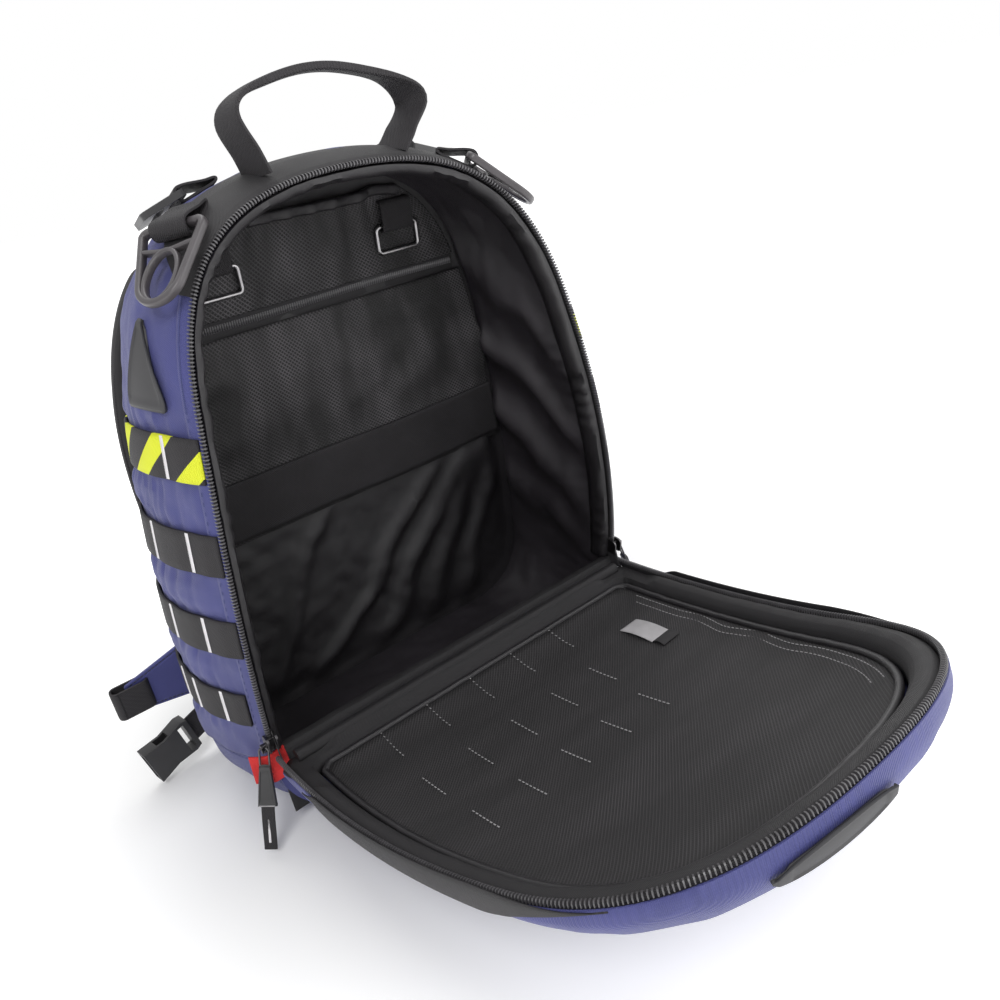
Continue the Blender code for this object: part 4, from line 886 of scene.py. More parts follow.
def build_lid():
    """The lid's shell and flange, its mesh floor, and the binding round the floor."""
    edge = LID_EDGE
    rolls = [lid_inset(LID_ROLL * (1 - math.cos(math.pi / 2 * i / 12))) for i in range(13)]
    rolls += [lid_inset(LID_ROLL) * (1 - i / 16) for i in range(1, 16)]
    hem = ZIP_TAPE + 0.0004 - 0.0044 * ease(0.012, 0.030, edge[:, 1])
    rows = [lid_loop(edge, 0.0005, hem), lid_loop(edge, 0.0, hem + 0.0006)]
    rows += [lid_loop(edge, 0.0, ZIP_TAPE + 0.0011)]
    rows += [lid_skin(edge, shrink) for shrink in rolls]
    grid = in_lid(rows)
    local = flat_cloth(grid)
    swell = clouds(*np.moveaxis(local, -1, 0), (0.0012, 0.045, 41.0), (0.0005, 0.015, 42.0))
    swell = swell * np.minimum(np.arange(len(rows)) / 6, 1.0)
    whole = {"away": LID_AWAY, "closed": True, "cap": True, "body": "lid"}
    sheet("lid_shell", lifted(grid, swell, LID_AWAY, closed=True), PANEL_THICK, NAVY, cloth=local, **whole)

    corner = ease(FOOT_HALF - 0.034, FOOT_HALF - 0.016, np.abs(edge[:, 0])) * ease(0.060, 0.030, edge[:, 1])
    rows = [lid_loop(edge, inset, np.maximum(deep, 0.0066 * corner)) for inset, deep, _ in LID_FLANGE]
    grid = in_lid(rows)
    run = np.arange(len(edge)) / len(edge) * 900
    crease = cloud(run, 0, 14, 44.0)[:, None]
    push = np.array([loose for _, _, loose in LID_FLANGE])[None, :]
    grid = grid + LID_AXES[1] * (crease * push * 0.0007)[..., None]
    sheet("lid_flange", grid, THIN_CLOTH, TAPE, away=LID_AWAY - LID_AXES[1], closed=True, body="lid")

    grid = in_lid([floor_loop(edge, i / 30) for i in range(30)])
    made = sheet("lid_lining", grid, 0.0010, LID_MESH, cloth=flat_cloth(grid), **whole)

    path = place(lid_loop(edge, 0.0196, 0.0112), LID)
    wobble = 0.0004 * cloud(run, 27.0, 9, 51.0)
    wire("lid_binding", path + LID_AXES[1] * wobble[:, None], LID_AXES[1], PIPING * 0.62, LINING, body="lid")


LID_FLANGE = (
    (0.0004, 0.0078, 0.0), (0.0030, 0.0070, 0.0), (0.0036, 0.0040, 0.4),
    (0.0056, 0.0022, 0.9), (0.0090, 0.0017, 1.0), (0.0124, 0.0032, 1.0),
    (0.0150, 0.0068, 0.7), (0.0162, 0.0110, 0.3), (0.0166, 0.0150, 0.0),
)


def build_lid_flap():
    """A black flap along each side of the lid's rim, over its zip half and hem; it runs out at both ends."""
    rise = np.linspace(FLAP_FOOT, FLAP_TOP, 150)
    near = (ease(FLAP_FOOT, FLAP_FOOT + 0.022, rise) * ease(FLAP_TOP, FLAP_TOP - 0.077, rise))[:, None]
    for label, side in SIDES:
        s = height_at(HINGE_Z + rise, side)
        out = ring_out(s)
        edge = ring(s) - (0, HINGE_Z)
        columns = []
        for drop, stand in ((0.0, 0.0018), (0.25, 0.0022), (0.55, 0.0020), (1.0, 0.0012)):
            deep = 0.0088 * drop + (0.0046 - 0.0058 * near[:, 0]) * (1 - drop)
            flat = edge + out * stand
            columns.append(join(flat[:, 0], -bow(rise) - deep, flat[:, 1]))
        for step in (0.15, 0.4, 0.7, 1.0):
            skin = [lid_skin(spot[None], lid_inset(FLAP_WIDE * step))[0] for spot in edge]
            columns.append(np.array(skin) + 0.0014 * join(out[:, 0], -1, out[:, 1]))
        columns = [columns[0] + (column - columns[0]) * near for column in columns]
        sheet(f"lid_flap_{label}", in_lid(columns), THIN_CLOTH, TAPE, away=LID_AWAY, body="lid")


FLAP_FOOT, FLAP_TOP, FLAP_WIDE = 0.044, 0.282, 0.014


def floor_loop(edge, share):
    """A loop of the mesh floor, share 0 at the binding and 1 at the middle."""
    loop = lid_loop(edge, FLOOR_INSET + (FLOOR_REACH - 0.0005) * share, 0.0)
    loop[:, 1] -= floor_depth(loop[:, 0], loop[:, 2], share)
    return loop


def floor_depth(x, rise, share):
    """Depth of the mesh floor, by its share of the way from the binding to the middle."""
    deep = FLOOR_EDGE + (LID_FLOOR - FLOOR_EDGE) * np.sin(np.clip(share / 0.18, 0, 1) * math.pi / 2)
    deep = deep + 0.0024 * np.sin(np.clip((share - 0.1) / 0.6, 0, 1) * math.pi / 2)
    return deep - 0.0010 * cloud(x, rise, 0.06, 61.0) * ease(0.02, 0.2, share)


FLOOR_INSET, FLOOR_EDGE = 0.0210, 0.0128
FLOOR_REACH = LID_MIDDLE[1] - FLOOR_INSET


def floor_share(x, rise):
    """Where a place on the floor lies between the binding, 0, and the middle, 1."""
    line = np.array((x, rise)) - LID_MIDDLE
    return ((1 - np.linalg.norm(line) / lid_reach(line)) * LID_MIDDLE[1] - FLOOR_INSET) / FLOOR_REACH


def lid_reach(line):
    """Distance from the lid's middle to its outline along a line."""
    outline = LID_EDGE - LID_MIDDLE
    angle = np.arctan2(outline[:, 1], outline[:, 0])
    order = np.argsort(angle)
    far = np.linalg.norm(outline, axis=1)[order]
    return float(np.interp(math.atan2(line[1], line[0]), angle[order], far, period=2 * math.pi))


def build_lid_marks():
    """What is sewn through the mesh floor: the dashes of the outer rows, and two seams on the right."""
    spots = []
    for rise, first, pitch in LID_DASHES:
        for column in range(5):
            for step in np.linspace(-0.5, 0.5, 8):
                at = np.array([first + column * pitch, rise + step * LID_DASH_LONG])
                deep = floor_depth(at[:1], at[1:], floor_share(*at))[0] - 0.0018
                spots.append(place((at[0], -bow(at[1]) - deep, at[1]), LID))
    beads("lid_dashes", spots, LID_AXES[2], LID_AXES[1], 0.0022, 0.0008, 0.0006, DULL_THREAD, body="lid")

    edge = LID_EDGE[(LID_EDGE[:, 0] > 0) & (LID_EDGE[:, 1] > 0.02) & (LID_EDGE[:, 1] < 0.30)]
    for label, inset in (("outer", 0.0245), ("inner", 0.0300)):
        path = floor_loop(edge, (inset - FLOOR_INSET) / FLOOR_REACH) + (0, 0.0012, 0)
        path[:, 0] += 0.0034 * cloud(path[:, 2], 0, 0.030, 95.0)
        name, path = f"lid_thread_{label}", place(path, LID)
        stitch_line(name, path, LID_AXES[1], SEAM_PITCH, DULL_THREAD, wide=0.0006, body="lid")


LID_DASHES = ((0.0360, -0.091, 0.0368), (0.0925, -0.095, 0.0346), (0.147, -0.094, 0.0327))
LID_DASH_LONG = 0.025


# What is sewn on the body's skin


def ring_at_x(x):
    """Distance along the ring to a place on the crown or shoulders, by its x."""
    s = np.interp(-abs(x), HALF_ARCH[:, 0], HALF_RUN)
    return s if x < 0 else ARCH_LONG - s


def skin_frame(x, v, turn=0.0):
    """A frame on the skin: X runs down the slope, Y along the bag's depth and Z outwards, turned about Z."""
    side = -1 if x < 0 else 1
    s = ring_at_x(x)
    near = body_grid([s - 0.0005, s, s + 0.0005], np.array([v - 0.005, v, v + 0.005]))
    out = Vector(normals(near, BODY_MIDDLE)[1, 1])
    down = Vector(near[2, 1] - near[0, 1]) * side
    along = out.cross(down).normalized()
    return frame_of(along.cross(out), along, out, near[1, 1]) @ Matrix.Rotation(math.radians(turn), 4, "Z")


def skin_spots(s, v, out):
    """Points over the skin, the way along the bag's depth there, and the normals."""
    points, along, looks = [], [], []
    for a, b in zip(*np.broadcast_arrays(s, v)):
        near = body_grid([a - 0.001, a, a + 0.001], np.array([b - 0.01, b, b + 0.01]))
        look = normals(near, BODY_MIDDLE)[1, 1]
        points.append(near[1, 1] + look * out)
        along.append(unit(near[1, 2] - near[1, 0]))
        looks.append(look)
    return points, along, looks


def build_rows():
    """Rows of webbing along both sides, sewn down by white bar tacks."""
    for label, side in SIDES:
        tacks = ([], [], [])
        for row in range(SIDE_ROWS):
            top = ROW_TOP - row * ROW_PITCH
            s = np.array([height_at(top - WEB * t, side) for t in np.linspace(1, 0, 7)])
            start = ROW_START if row < SIDE_ROWS - 1 else LOW_START
            v = np.linspace(start, ROW_END, 70)
            slack = np.prod([ease(0.0, 0.10, np.abs(v - tack)) for tack in ROW_TACKS[row]], axis=0)
            slack = slack * ease(0, 0.08, v - start) * ease(0, 0.08, ROW_END - v)
            grid = on_skin(s, v, SEAT + WEB_THICK + ROW_SLACK * slack[None, :])
            sheet(f"molle_{label}_{row + 1}", grid, WEB_THICK, HI_VIS if row == 0 else WEBBING)
            for tack in ROW_TACKS[row]:
                found = skin_spots(np.linspace(s[0], s[-1], 30)[1:-1], tack, SEAT + WEB_THICK + 0.0001)
                for kept, new in zip(tacks, found):
                    kept.extend(new)
        beads(f"row_tacks_{label}", *tacks, 0.0026, 0.0011, 0.0007, THREAD)


ROW_START, LOW_START, ROW_END = -0.02, 0.03, 0.93
ROW_SLACK = 0.0008
ROW_TACKS = ((0.19,), (0.14, 0.44), (0.16, 0.43), (0.17, 0.40, 0.56))


def build_patch():
    """The bare rubber patch over the left rows, with a raised rim."""
    t = np.linspace(0, 1, 25)
    s = np.array([height_at(PATCH_Z + PATCH_TALL * (0.5 - a), -1) for a in t])
    half = PATCH_WIDE / 2 * (PATCH_TOP + (1 - PATCH_TOP) * t) / DEPTH_FOOT
    half = half * np.sqrt(1 - 0.35 * np.abs(2 * t - 1) ** 5)
    across = np.linspace(-1, 1, 21)
    v = PATCH_V + half[:, None] * across[None, :]
    edge = np.maximum(np.abs(across)[None, :], np.abs(2 * t - 1)[:, None])
    rim = 0.0009 * ease(0.80, 0.86, edge) * ease(1.0, 0.95, edge)
    sheet("side_patch", on_skin(s, v, SEAT + RUBBER_THICK + rim), RUBBER_THICK, RUBBER)


PATCH_TALL, PATCH_WIDE, PATCH_Z, PATCH_V, PATCH_TOP = 0.046, 0.056, 0.317, 0.285, 0.10


def round_box(wide, tall, radius, middle, steps, count):
    """A box with round corners, as a closed line of points at even distances."""
    made = []
    for k, (x, y) in enumerate(((1, -1), (1, 1), (-1, 1), (-1, -1))):
        for angle in np.linspace((k - 1) * math.pi / 2, k * math.pi / 2, steps):
            made.append((x * (wide / 2 - radius) + radius * math.cos(angle) + middle[0],
                         y * (tall / 2 - radius) + radius * math.sin(angle) + middle[1]))
    return resample(np.array(made), count, closed=True)


def web(name, path, across, wide=WEB, **ride):
    """A length of flat webbing."""
    strap(name, path, across, wide, WEB_THICK, WEBBING, power=8.0, **ride)


def web_loop(name, long, tall, where):
    """A webbing loop that stands on a frame: a long ring in its XZ plane, one webbing wide along Y."""
    mid = WEB_THICK / 2
    middle = (0, LOOP_SEAT + tall / 2)
    flat = round_box(long - 2 * mid, tall - 2 * mid, tall / 2 - mid - 0.0003, middle, 8, 72)
    low = LOOP_SEAT + mid
    flat[:, 1] = low + (flat[:, 1] - low) * (1 - 0.66 * ease(0.010, -0.012, flat[:, 0]))
    web(name, place(join(flat[:, 0], 0, flat[:, 1]), where), axes(where)[1], closed=True)


LOOP_SEAT, LOOP_LONG, LOOP_TALL, RING_LOOP_TALL = 0.0001, 0.028, 0.010, 0.012
LIFTER_X, LIFTER_V = 0.064, 0.72
RING_TILT = math.radians(9.0)


def ring_place(side):
    """The frame that a carry ring's loop stands on."""
    return skin_frame(side * 0.087, 0.24, -side * 27.0)


def carry_ring(label, side):
    """A D-shaped carry ring: an outer frame, an oval ring inside it, and a bar under the webbing's slot."""
    where = ring_place(side)
    where = where @ Matrix.Translation(((LOOP_LONG - RING_LOOP_TALL) / 2, 0, LOOP_SEAT + RING_LOOP_TALL / 2))
    where = where @ Matrix.Rotation(RING_TILT, 4, "Y") @ Matrix.Rotation(math.pi / 2, 4, "Z")
    out = axes(where)[2]
    half, top, foot, bridge = 0.0209, 0.0006, 0.0144, 0.0196
    angle = np.radians(np.linspace(190, 350, 24))
    bow_line = join(foot * np.cos(angle), foot * np.sin(angle) - 0.0335)
    corners = [(half, top - 0.003), (half - 0.001, top - 0.001), (half - 0.003, top)]
    frame_line = np.vstack([corners, np.array(corners[::-1]) * (-1, 1), bow_line])
    turn = np.linspace(0, 2 * math.pi, 60, endpoint=False)
    oval = join(0.0108 * np.cos(turn), 0.0160 * np.sin(turn) - 0.0315)
    x = np.linspace(-bridge, bridge, 40)
    bar = join(x, -0.0146 - 0.0012 * np.cos(x / bridge * math.pi))
    for name, line, wide, thick, closed in (
        ("carry_ring", resample(frame_line, 140, closed=True), 0.0050, 0.0042, True),
        ("ring_oval", oval, 0.0046, 0.0030, True),
        ("ring_bridge", bar, 0.0044, 0.0028, False),
    ):
        path = place(join(line[:, 0], line[:, 1], 0), where)
        strap(f"{name}_{label}", path, out, wide, thick, GREY, sides=16, closed=closed, power=3.4,
              body=f"carry_ring_{label}")


def build_hardware():
    """Loops and carry rings on the crown, and the rigid solids that stay as they are."""
    for label, side in SIDES:
        web_loop(f"lifter_loop_{label}", LOOP_LONG, LOOP_TALL, skin_frame(side * LIFTER_X, LIFTER_V))
        web_loop(f"ring_loop_{label}", LOOP_LONG, RING_LOOP_TALL, ring_place(side))
        carry_ring(label, side)
    for node, finish, radius in HARDWARE:
        for label, _ in SIDES:
            harden(f"{node}_{label}", finish, radius)
    harden("pocket_slider", STEEL, 0.0003)


HARDWARE = (
    ("zip_slider", GUN_STEEL, 0.0004),
    ("lifter_buckle", PLASTIC, 0.0008),
    ("strap_adjuster", PLASTIC, 0.0008),
    ("hip_buckle", PLASTIC, 0.0008),
)


def build_handle():
    """The carry handle: webbing that stands full width on its feet and folds double in the middle."""
    feet = [np.array(skin_frame(side * HANDLE_HALF, 0.19).translation) for _, side in SIDES]
    base = (feet[0] + feet[1]) / 2
    path = smooth([base + (x, 0, z) for x, z in HANDLE_LINE], 90)
    t = np.linspace(0, 1, 90)
    fold = ease(0.16, 0.36, t) * ease(0.84, 0.66, t)
    twist = np.interp(t, *zip(*HANDLE_TWIST))
    across = join(np.sin(twist) * 0.8, np.cos(twist), np.sin(twist) * 0.3)
    strap("carry_handle", path, across, WEB - 0.0135 * fold, 0.0030 + 0.0020 * fold, WEBBING, sides=16)


HANDLE_HALF = 0.045
HANDLE_LINE = (
    (-0.045, 0.0005), (-0.048, 0.013), (-0.0535, 0.031), (-0.046, 0.042), (-0.024, 0.0485), (0.0, 0.0515),
    (0.024, 0.049), (0.052, 0.040), (0.066, 0.026), (0.054, 0.010), (0.045, 0.0005),
)
HANDLE_TWIST = ((0.0, -0.35), (0.14, -0.30), (0.35, 0.0), (0.65, 0.0), (0.82, -0.45), (1.0, -0.75))


# Back wall inside


def wall_half(height):
    """Half the clear width of the back wall at heights up it."""
    z = np.asarray(height, float) * math.cos(BACK_SLANT)
    wide = np.where(z <= HINGE_Z, FOOT_HALF, -np.interp(z, HALF_ARCH[:, 1], HALF_ARCH[:, 0]))
    return wide - WALL * 1.4 - 0.005


def wall_grid(foot, top, deep, count=(40, 120), lift=None):
    """A grid over the back wall's inner face between two heights, this deep inside it."""
    h = np.linspace(foot, top, count[0])
    x = wall_half(h)[:, None] * np.linspace(-1, 1, count[1])[None, :]
    h = np.broadcast_to(h[:, None], x.shape)
    if lift is not None:
        h = h + lift(x, h)
    y = np.broadcast_to(deep(x, h), x.shape)
    return place(join(x, -y, h), BACK)


WALL_FRONT = np.array((0.0, 1.0, 0.2))
WALL_MIDDLE = np.array((0.0, 0.20))


def wall_outline(inset, foot):
    """The back wall's outline as (x, height up the wall), moved in and cut off at its foot."""
    s = np.linspace(0, RING_LONG, 300, endpoint=False)
    return np.maximum((ring(s) - ring_out(s) * inset) / (1, math.cos(BACK_SLANT)), (-1, foot))


def build_back_wall():
    """The quilted back wall and its lining, which turns forward along the side walls."""
    inside = wall_outline(0.0042, 0.0056)
    slab("back_panel", inside, WALL_MIDDLE, quilt, -0.0055, BACK, TAPE, rings=40)

    inside = wall_outline(0.0050, 0.0066)
    s = np.linspace(0, RING_LONG, 300, endpoint=False)
    v = 1 - np.array((0.0125, 0.0064))[None, :] / skin_depth(s)[:, None]
    turn = lifted(body_grid(s, v), -WALL - 0.0003, BODY_MIDDLE, closed=True)
    rows = list(np.moveaxis((turn - np.array(BACK.translation)) @ BACK_AXES.T, 1, 0))
    for share in np.linspace(1, 0.02, 46):
        x, h = (WALL_MIDDLE + (inside - WALL_MIDDLE) * share).T
        deep = 0.0060 + 0.0022 * ease(0.93, 1.0, share) + wall_folds(x, h) * ease(1.0, 0.85, share)
        rows.append(join(x, -deep, h))
    grid = np.stack(rows, axis=1)
    cloth = grid[..., [0, 2]]
    grid = place(grid, BACK)
    # The darker copy of the lining: painted shade on the back wall.
    made = sheet("back_lining", grid, 0.0006, LINING, away=WALL_FRONT, closed=True, cap=True, cloth=cloth)


def build_pocket():
    """The mesh pocket, loose between its band and its zip."""

    def sag(x, h):
        loose = ease(0.222, 0.250, h) * ease(POCKET_TOP, POCKET_TOP - 0.03, h)
        fold = 0.5 + cloud(x + 0.5 * h, h - 0.5 * x, 0.040, 71.0) + 0.35 * cloud(x, h, 0.018, 73.0)
        return 0.0102 + 0.0055 * loose * np.maximum(fold, 0) + 0.0004 * cloud(x, h, 0.016, 72.0)

    grid = wall_grid(POCKET_FOOT, POCKET_TOP, sag)
    made = sheet("mesh_pocket", grid, 0.0012, MESH, away=WALL_FRONT)


def build_upper_mesh():
    """The mesh above the pocket, gathered into a roll along the top of the wall."""

    def gathered(x, h):
        near = ease(0.345, 0.385, h)
        pleat = np.sin(2 * math.pi * x / 0.021 + 3 * cloud(x, h * 0.3, 0.05, 74.0))
        free = ease(0.018, 0.030, np.abs(np.abs(x) - RING_X))
        fold = np.maximum(0.4 + cloud(x, h * 0.5, 0.030, 79.0), 0)
        fold = 0.0040 * fold * ease(POCKET_TOP + 0.012, POCKET_TOP + 0.03, h)
        fold = (0.0026 * near * (0.5 + 0.5 * pleat) + fold) * free
        return 0.0088 + fold + 0.0005 * cloud(x, h, 0.02, 75.0)

    grid = wall_grid(POCKET_TOP + POCKET_ZIP - 0.002, UPPER_TOP, gathered, (44, 150))
    sheet("upper_mesh", grid, THIN_CLOTH, MESH, away=WALL_FRONT)
    top = grid[-1, 4:-4]
    run = lengths(top)
    wave = join(0, 0.0014 * cloud(run, 0.017, 0.017, 76.0), 0.0030 * cloud(run, 0.048, 0.024, 77.0))
    path = smooth(top[::3] + wave[::3], 160) + BACK_AXES[1] * -0.0025
    wide = 0.0070 + 0.0018 * cloud(np.linspace(0, 27.9, 160), 3.0, 1.0, 78.0)
    strap("mesh_roll", path, (0, 0, 1), wide, wide * 0.75, LINING, sides=14, power=2.4)


def build_band():
    """The wide elastic band over the pocket's foot."""

    def band(x, h):
        edge = np.minimum(h - BAND_FOOT, BAND_FOOT + BAND_TALL - h)
        arch = 0.0010 * np.sin(np.clip(x / 0.28 + 0.5, 0, 1) * math.pi)
        return 0.0122 + arch + 0.0005 * cloud(x, edge, 0.03, 79.0)

    def dip(x, h):
        return 0.0022 * cloud(x, h * 0.2, 0.09, 80.0)

    grid = wall_grid(BAND_FOOT, BAND_FOOT + BAND_TALL, band, (16, 120), dip)
    sheet("elastic_band", grid, 0.0015, WEBBING, away=WALL_FRONT)


POCKET_FOOT, POCKET_TOP, POCKET_ZIP = 0.168, 0.318, 0.014
UPPER_TOP = 0.386
BAND_FOOT, BAND_TALL = 0.172, 0.046
PAD_WIDE, PAD_GAP, PAD_FOOT, PAD_TALL, PAD_THICK = 0.088, 0.024, 0.060, 0.270, 0.014


def quilt(share, flat):
    """Outer face of the back wall, quilted in slanted lines."""
    lines = np.abs(np.sin(math.pi * (flat[..., 0] + flat[..., 1]) / 0.03))
    cross = np.abs(np.sin(math.pi * (flat[..., 0] - flat[..., 1]) / 0.03))
    puff = 0.0009 * np.minimum(lines, cross) * ease(1.0, 0.96, share)
    return puff - 0.0006 - 0.0012 * ease(0.97, 1.0, share)


def wall_folds(x, h):
    """Folds of the lining below the band: a few long slanted drapes and small creases."""
    low = ease(0.185, 0.150, h)
    folds = 0.0012 * (1 + cloud(x, h, 0.03, 81.0))
    for start, lean, size, width in WALL_DRAPES:
        crest = start + lean * (h - 0.02) + 0.012 * cloud(h, 0, 0.05, start * 70)
        folds = folds + size * ridge(x - crest, width) * low
    return folds + 0.0010 * low * cloud(x, h, 0.012, 82.0)


WALL_DRAPES = (
    (-0.060, 0.9, 0.0055, 0.011),
    (-0.005, 0.7, 0.0070, 0.013),
    (0.045, 0.5, 0.0060, 0.012),
    (0.090, 0.3, 0.0050, 0.010),
    (-0.110, 0.5, 0.0040, 0.010),
)


def build_pocket_zip():
    """The pocket's zip: a tape with a coil along its middle."""
    middle = POCKET_TOP + 0.0003 + POCKET_ZIP / 2
    half = float(wall_half(POCKET_TOP + POCKET_ZIP))
    x = np.linspace(-half, half, 160)
    path = join(x, -0.0070, middle + 0.0006 * np.sin(x * 30))
    up = BACK_AXES[2]
    strap("pocket_zip", place(path, BACK), up, POCKET_ZIP, 0.0012, TAPE)
    x = np.arange(-half + 0.002, half - 0.002, 0.0017)
    spots = place(join(x, -0.0076, middle + 0.0006 * np.sin(x * 30)), BACK)
    beads("pocket_coil", spots, up, -BACK_AXES[1], 0.0048, 0.0011, 0.0012, TOOTH)


def inner_ring(label, side):
    """A steel wire loop in a webbing tab, high on the back wall."""
    tall, thick, mid = 0.022, 0.0085, WEB_THICK / 2
    middle = (0, (tall - thick) / 2)
    flat = round_box(thick - 2 * mid, tall - 2 * mid, thick / 2 - mid - 0.0003, middle, 8, 64)
    spot = np.array((side * RING_X, -BACK_FOAM - 0.0003 - thick / 2, RING_Z))
    path = spot + join(0, flat[:, 0], flat[:, 1])
    web(f"ring_tab_{label}", place(path, BACK), BACK_AXES[0], closed=True)
    flat = round_box(0.033, 0.018, 0.0030, (0, -0.009), 7, 90)
    path = spot + join(flat[:, 0], 0, flat[:, 1])
    name = f"inner_ring_{label}"
    wire(name, place(path, BACK), BACK_AXES[1], RING_WIRE, STEEL, sides=14, body=name)


RING_X, RING_Z, RING_WIRE = 0.069, TOP_Z / math.cos(BACK_SLANT) - 0.0452, 0.0033


# Zip pulls and tabs


def zip_pull(label):
    """A wire link, a grip with a raised frame and a bright bar at its foot, and a webbing tail."""
    joint = JOINTS[f"pull_swing_{label}"]
    low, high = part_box(f"zip_pull_{label}")
    pivot = np.array(joint["pos_m"])
    body = f"zip_pull_{label}"
    wide = unit(np.array(joint["axis"]))
    down = (np.array(low) + np.array(high)) / 2 - pivot
    down = unit(down - wide * (down @ wide))
    out = np.cross(wide, down)
    where = frame_of(wide, out, -down, pivot) @ Matrix.Rotation(math.radians(PULL_TWIST[label]), 4, "Z")
    wide, out = axes(where)[:2]

    flat = round_box(0.0060, 0.0145, 0.0028, (0, -0.0066), 7, 60)
    path = place(join(flat[:, 0], 0, flat[:, 1]), where)
    wire(f"pull_link_{label}", path, out, 0.0014, GUN_STEEL, body=body, node=body)

    grip = np.array(GRIP_EDGE)
    grip = smooth(np.vstack([grip[:1] * (-1, 1), grip, grip[:0:-1] * (-1, 1)]), 80, closed=True)

    def face(way):
        def made(share, _):
            frame_rim = 0.0006 * ease(0.70, 0.78, share) * ease(1.0, 0.93, share)
            return way * (0.0013 + frame_rim - 0.0011 * ease(0.93, 1.0, share))

        return made

    slab(f"pull_grip_{label}", grip, (0, -0.027), face(1), face(-1), where, PLASTIC, rings=18, body=body)
    bar = join(np.linspace(-0.0050, 0.0050, 16), 0, -0.0405)
    for name, way in FACES:
        path = place(bar + (0, way * 0.0013, 0), where)
        strap(f"pull_bar_{name}_{label}", path, -down, 0.0015, 0.0013, STEEL, power=3.0, body=body)
    tail = join(0, 0.0004 * np.sin(np.linspace(0, 5, 40)), np.linspace(-0.0410, -0.0740, 40))
    strap(f"pull_tail_{label}", place(tail, where), wide, 0.0084, 0.0016, WEBBING, power=8.0, body=body)
    spots = join(0, 0.0008, np.arange(-0.0680, -0.0510, 0.0007))
    for name, way in FACES:
        at = place(spots * (1, way, 1), where)
        beads(f"pull_line_{name}_{label}", at, wide, out * way, 0.0015, 0.0010, 0.0005, THREAD, body=body)


PULL_TWIST = {"left": 55.0, "right": -20.0}
GRIP_EDGE = ((0.0030, -0.0118), (0.0038, -0.014), (0.0060, -0.0395), (0.0055, -0.0415))
FACES = (("front", 1), ("rear", -1))


def build_tab():
    """The red tab at the left end of the zip: a short ribbon folded across the corner under the slider."""
    line = smooth(TAB_LINE, 30)
    drop = np.linspace(0.0, 1.0, 18)
    middle = line.mean(axis=0)
    flat = middle + (line[None] - middle) * (1 + 0.10 * drop)[:, None, None]
    z = HINGE_Z - TAB_TALL * drop[:, None] + 0.0025 * np.abs(np.linspace(-1, 1, 30))
    sheet("zip_tab", join(flat[..., 0], flat[..., 1], z), 0.0012, RED)


TAB_LINE = ((-0.1680, -0.0690), (-0.1605, -0.0735), (-0.1540, -0.0754), (-0.1465, -0.0762))
TAB_TALL = 0.021


# Lid trim


def build_lid_trim():
    """The bare badge, the webbing rows on the lid's face, and the bare label."""
    lines = []
    across = np.cos(np.linspace(0, math.pi, 60))
    for share in np.linspace(-1, 1, 15):
        line = []
        for a in across:
            x = BADGE_X + BADGE_LONG / 2 * a
            rise = np.interp(-abs(x), *HALF_ARCH.T) - HINGE_Z
            tall = BADGE_ROLL / 2 * max(math.sqrt(max(1 - a * a, 0)), 0.12)
            roll = BADGE_MIDDLE + tall * share
            point = lid_skin(np.array([[x, rise]]), lid_inset(LID_ROLL * (1 - math.cos(roll))))[0]
            near = max(abs(share), abs(a))
            rim = 0.0008 * ease(0.72, 0.82, near) * ease(1.0, 0.94, near)
            line.append(point + np.array((0, -math.sin(roll), math.cos(roll))) * (SEAT + RUBBER_THICK + rim))
        lines.append(line)
    sheet("lid_badge", place(lines, LID), RUBBER_THICK, RUBBER, away=LID_AWAY, body="lid")

    for row in range(LID_ROWS):
        rise = np.linspace(-WEB / 2, WEB / 2, 7) + LID_ROW_FOOT + row * ROW_PITCH
        x = np.linspace(-LID_ROW_HALF, LID_ROW_HALF, 70)
        grid = place([[lid_face(a, r, 0.0009 + WEB_THICK) for a in x] for r in rise], LID)
        sheet(f"lid_molle_{row + 1}", grid, WEB_THICK, WEBBING, away=LID_AWAY, body="lid")

    u = np.linspace(-0.5, 0.5, 24)
    for name, finish, rise, long, wide in LABELS:
        across, along = np.meshgrid(u * wide, u * long, indexing="ij")
        share = np.array([floor_share(LABEL_X + a, rise + b) for a, b in zip(across.ravel(), along.ravel())])
        deep = floor_depth(LABEL_X + across, rise + along, share.reshape(across.shape)) - 0.0021
        deep = deep - 0.0016 * np.sin((along / long + 0.5) * math.pi)
        grid = place(join(LABEL_X + across, -bow(rise + along) - deep, rise + along), LID)
        sheet(name, grid, 0.0006, finish, away=LID_AWAY - LID_AXES[1], body="lid")


LABEL_X = 0.098
LABELS = (("care_label", PALE, 0.079, 0.032, 0.017), ("label_tail", TAPE, 0.1005, 0.011, 0.016))
LID_ROWS, LID_ROW_FOOT, LID_ROW_HALF = 3, 0.040, 0.095
BADGE_X, BADGE_LONG, BADGE_MIDDLE, BADGE_ROLL = -0.033, 0.070, math.radians(14), math.radians(25)


def lid_face(x, rise, out):
    """A point that far in front of the lid's face, found by the ring that it lies on."""
    line = np.array((x, rise)) - LID_MIDDLE
    shrink = max(float(np.linalg.norm(line) / lid_reach(line)), 0.02)
    point = lid_skin((LID_MIDDLE + line / shrink)[None, :], shrink)[0]
    return point - (0, out, 0)


# Harness


def strap_line(t):
    """The right shoulder strap's middle line in the back frame, from its top, 0, to its foot, 1."""
    x = STRAP_HALF_TOP + (STRAP_HALF_FOOT - STRAP_HALF_TOP) * (1 - (1 - t) ** 3)
    y = 0.006 + SEAT + 0.026 * np.sin(math.pi * t**0.6)
    return join(x, y, STRAP_TOP - STRAP_TALL * t)


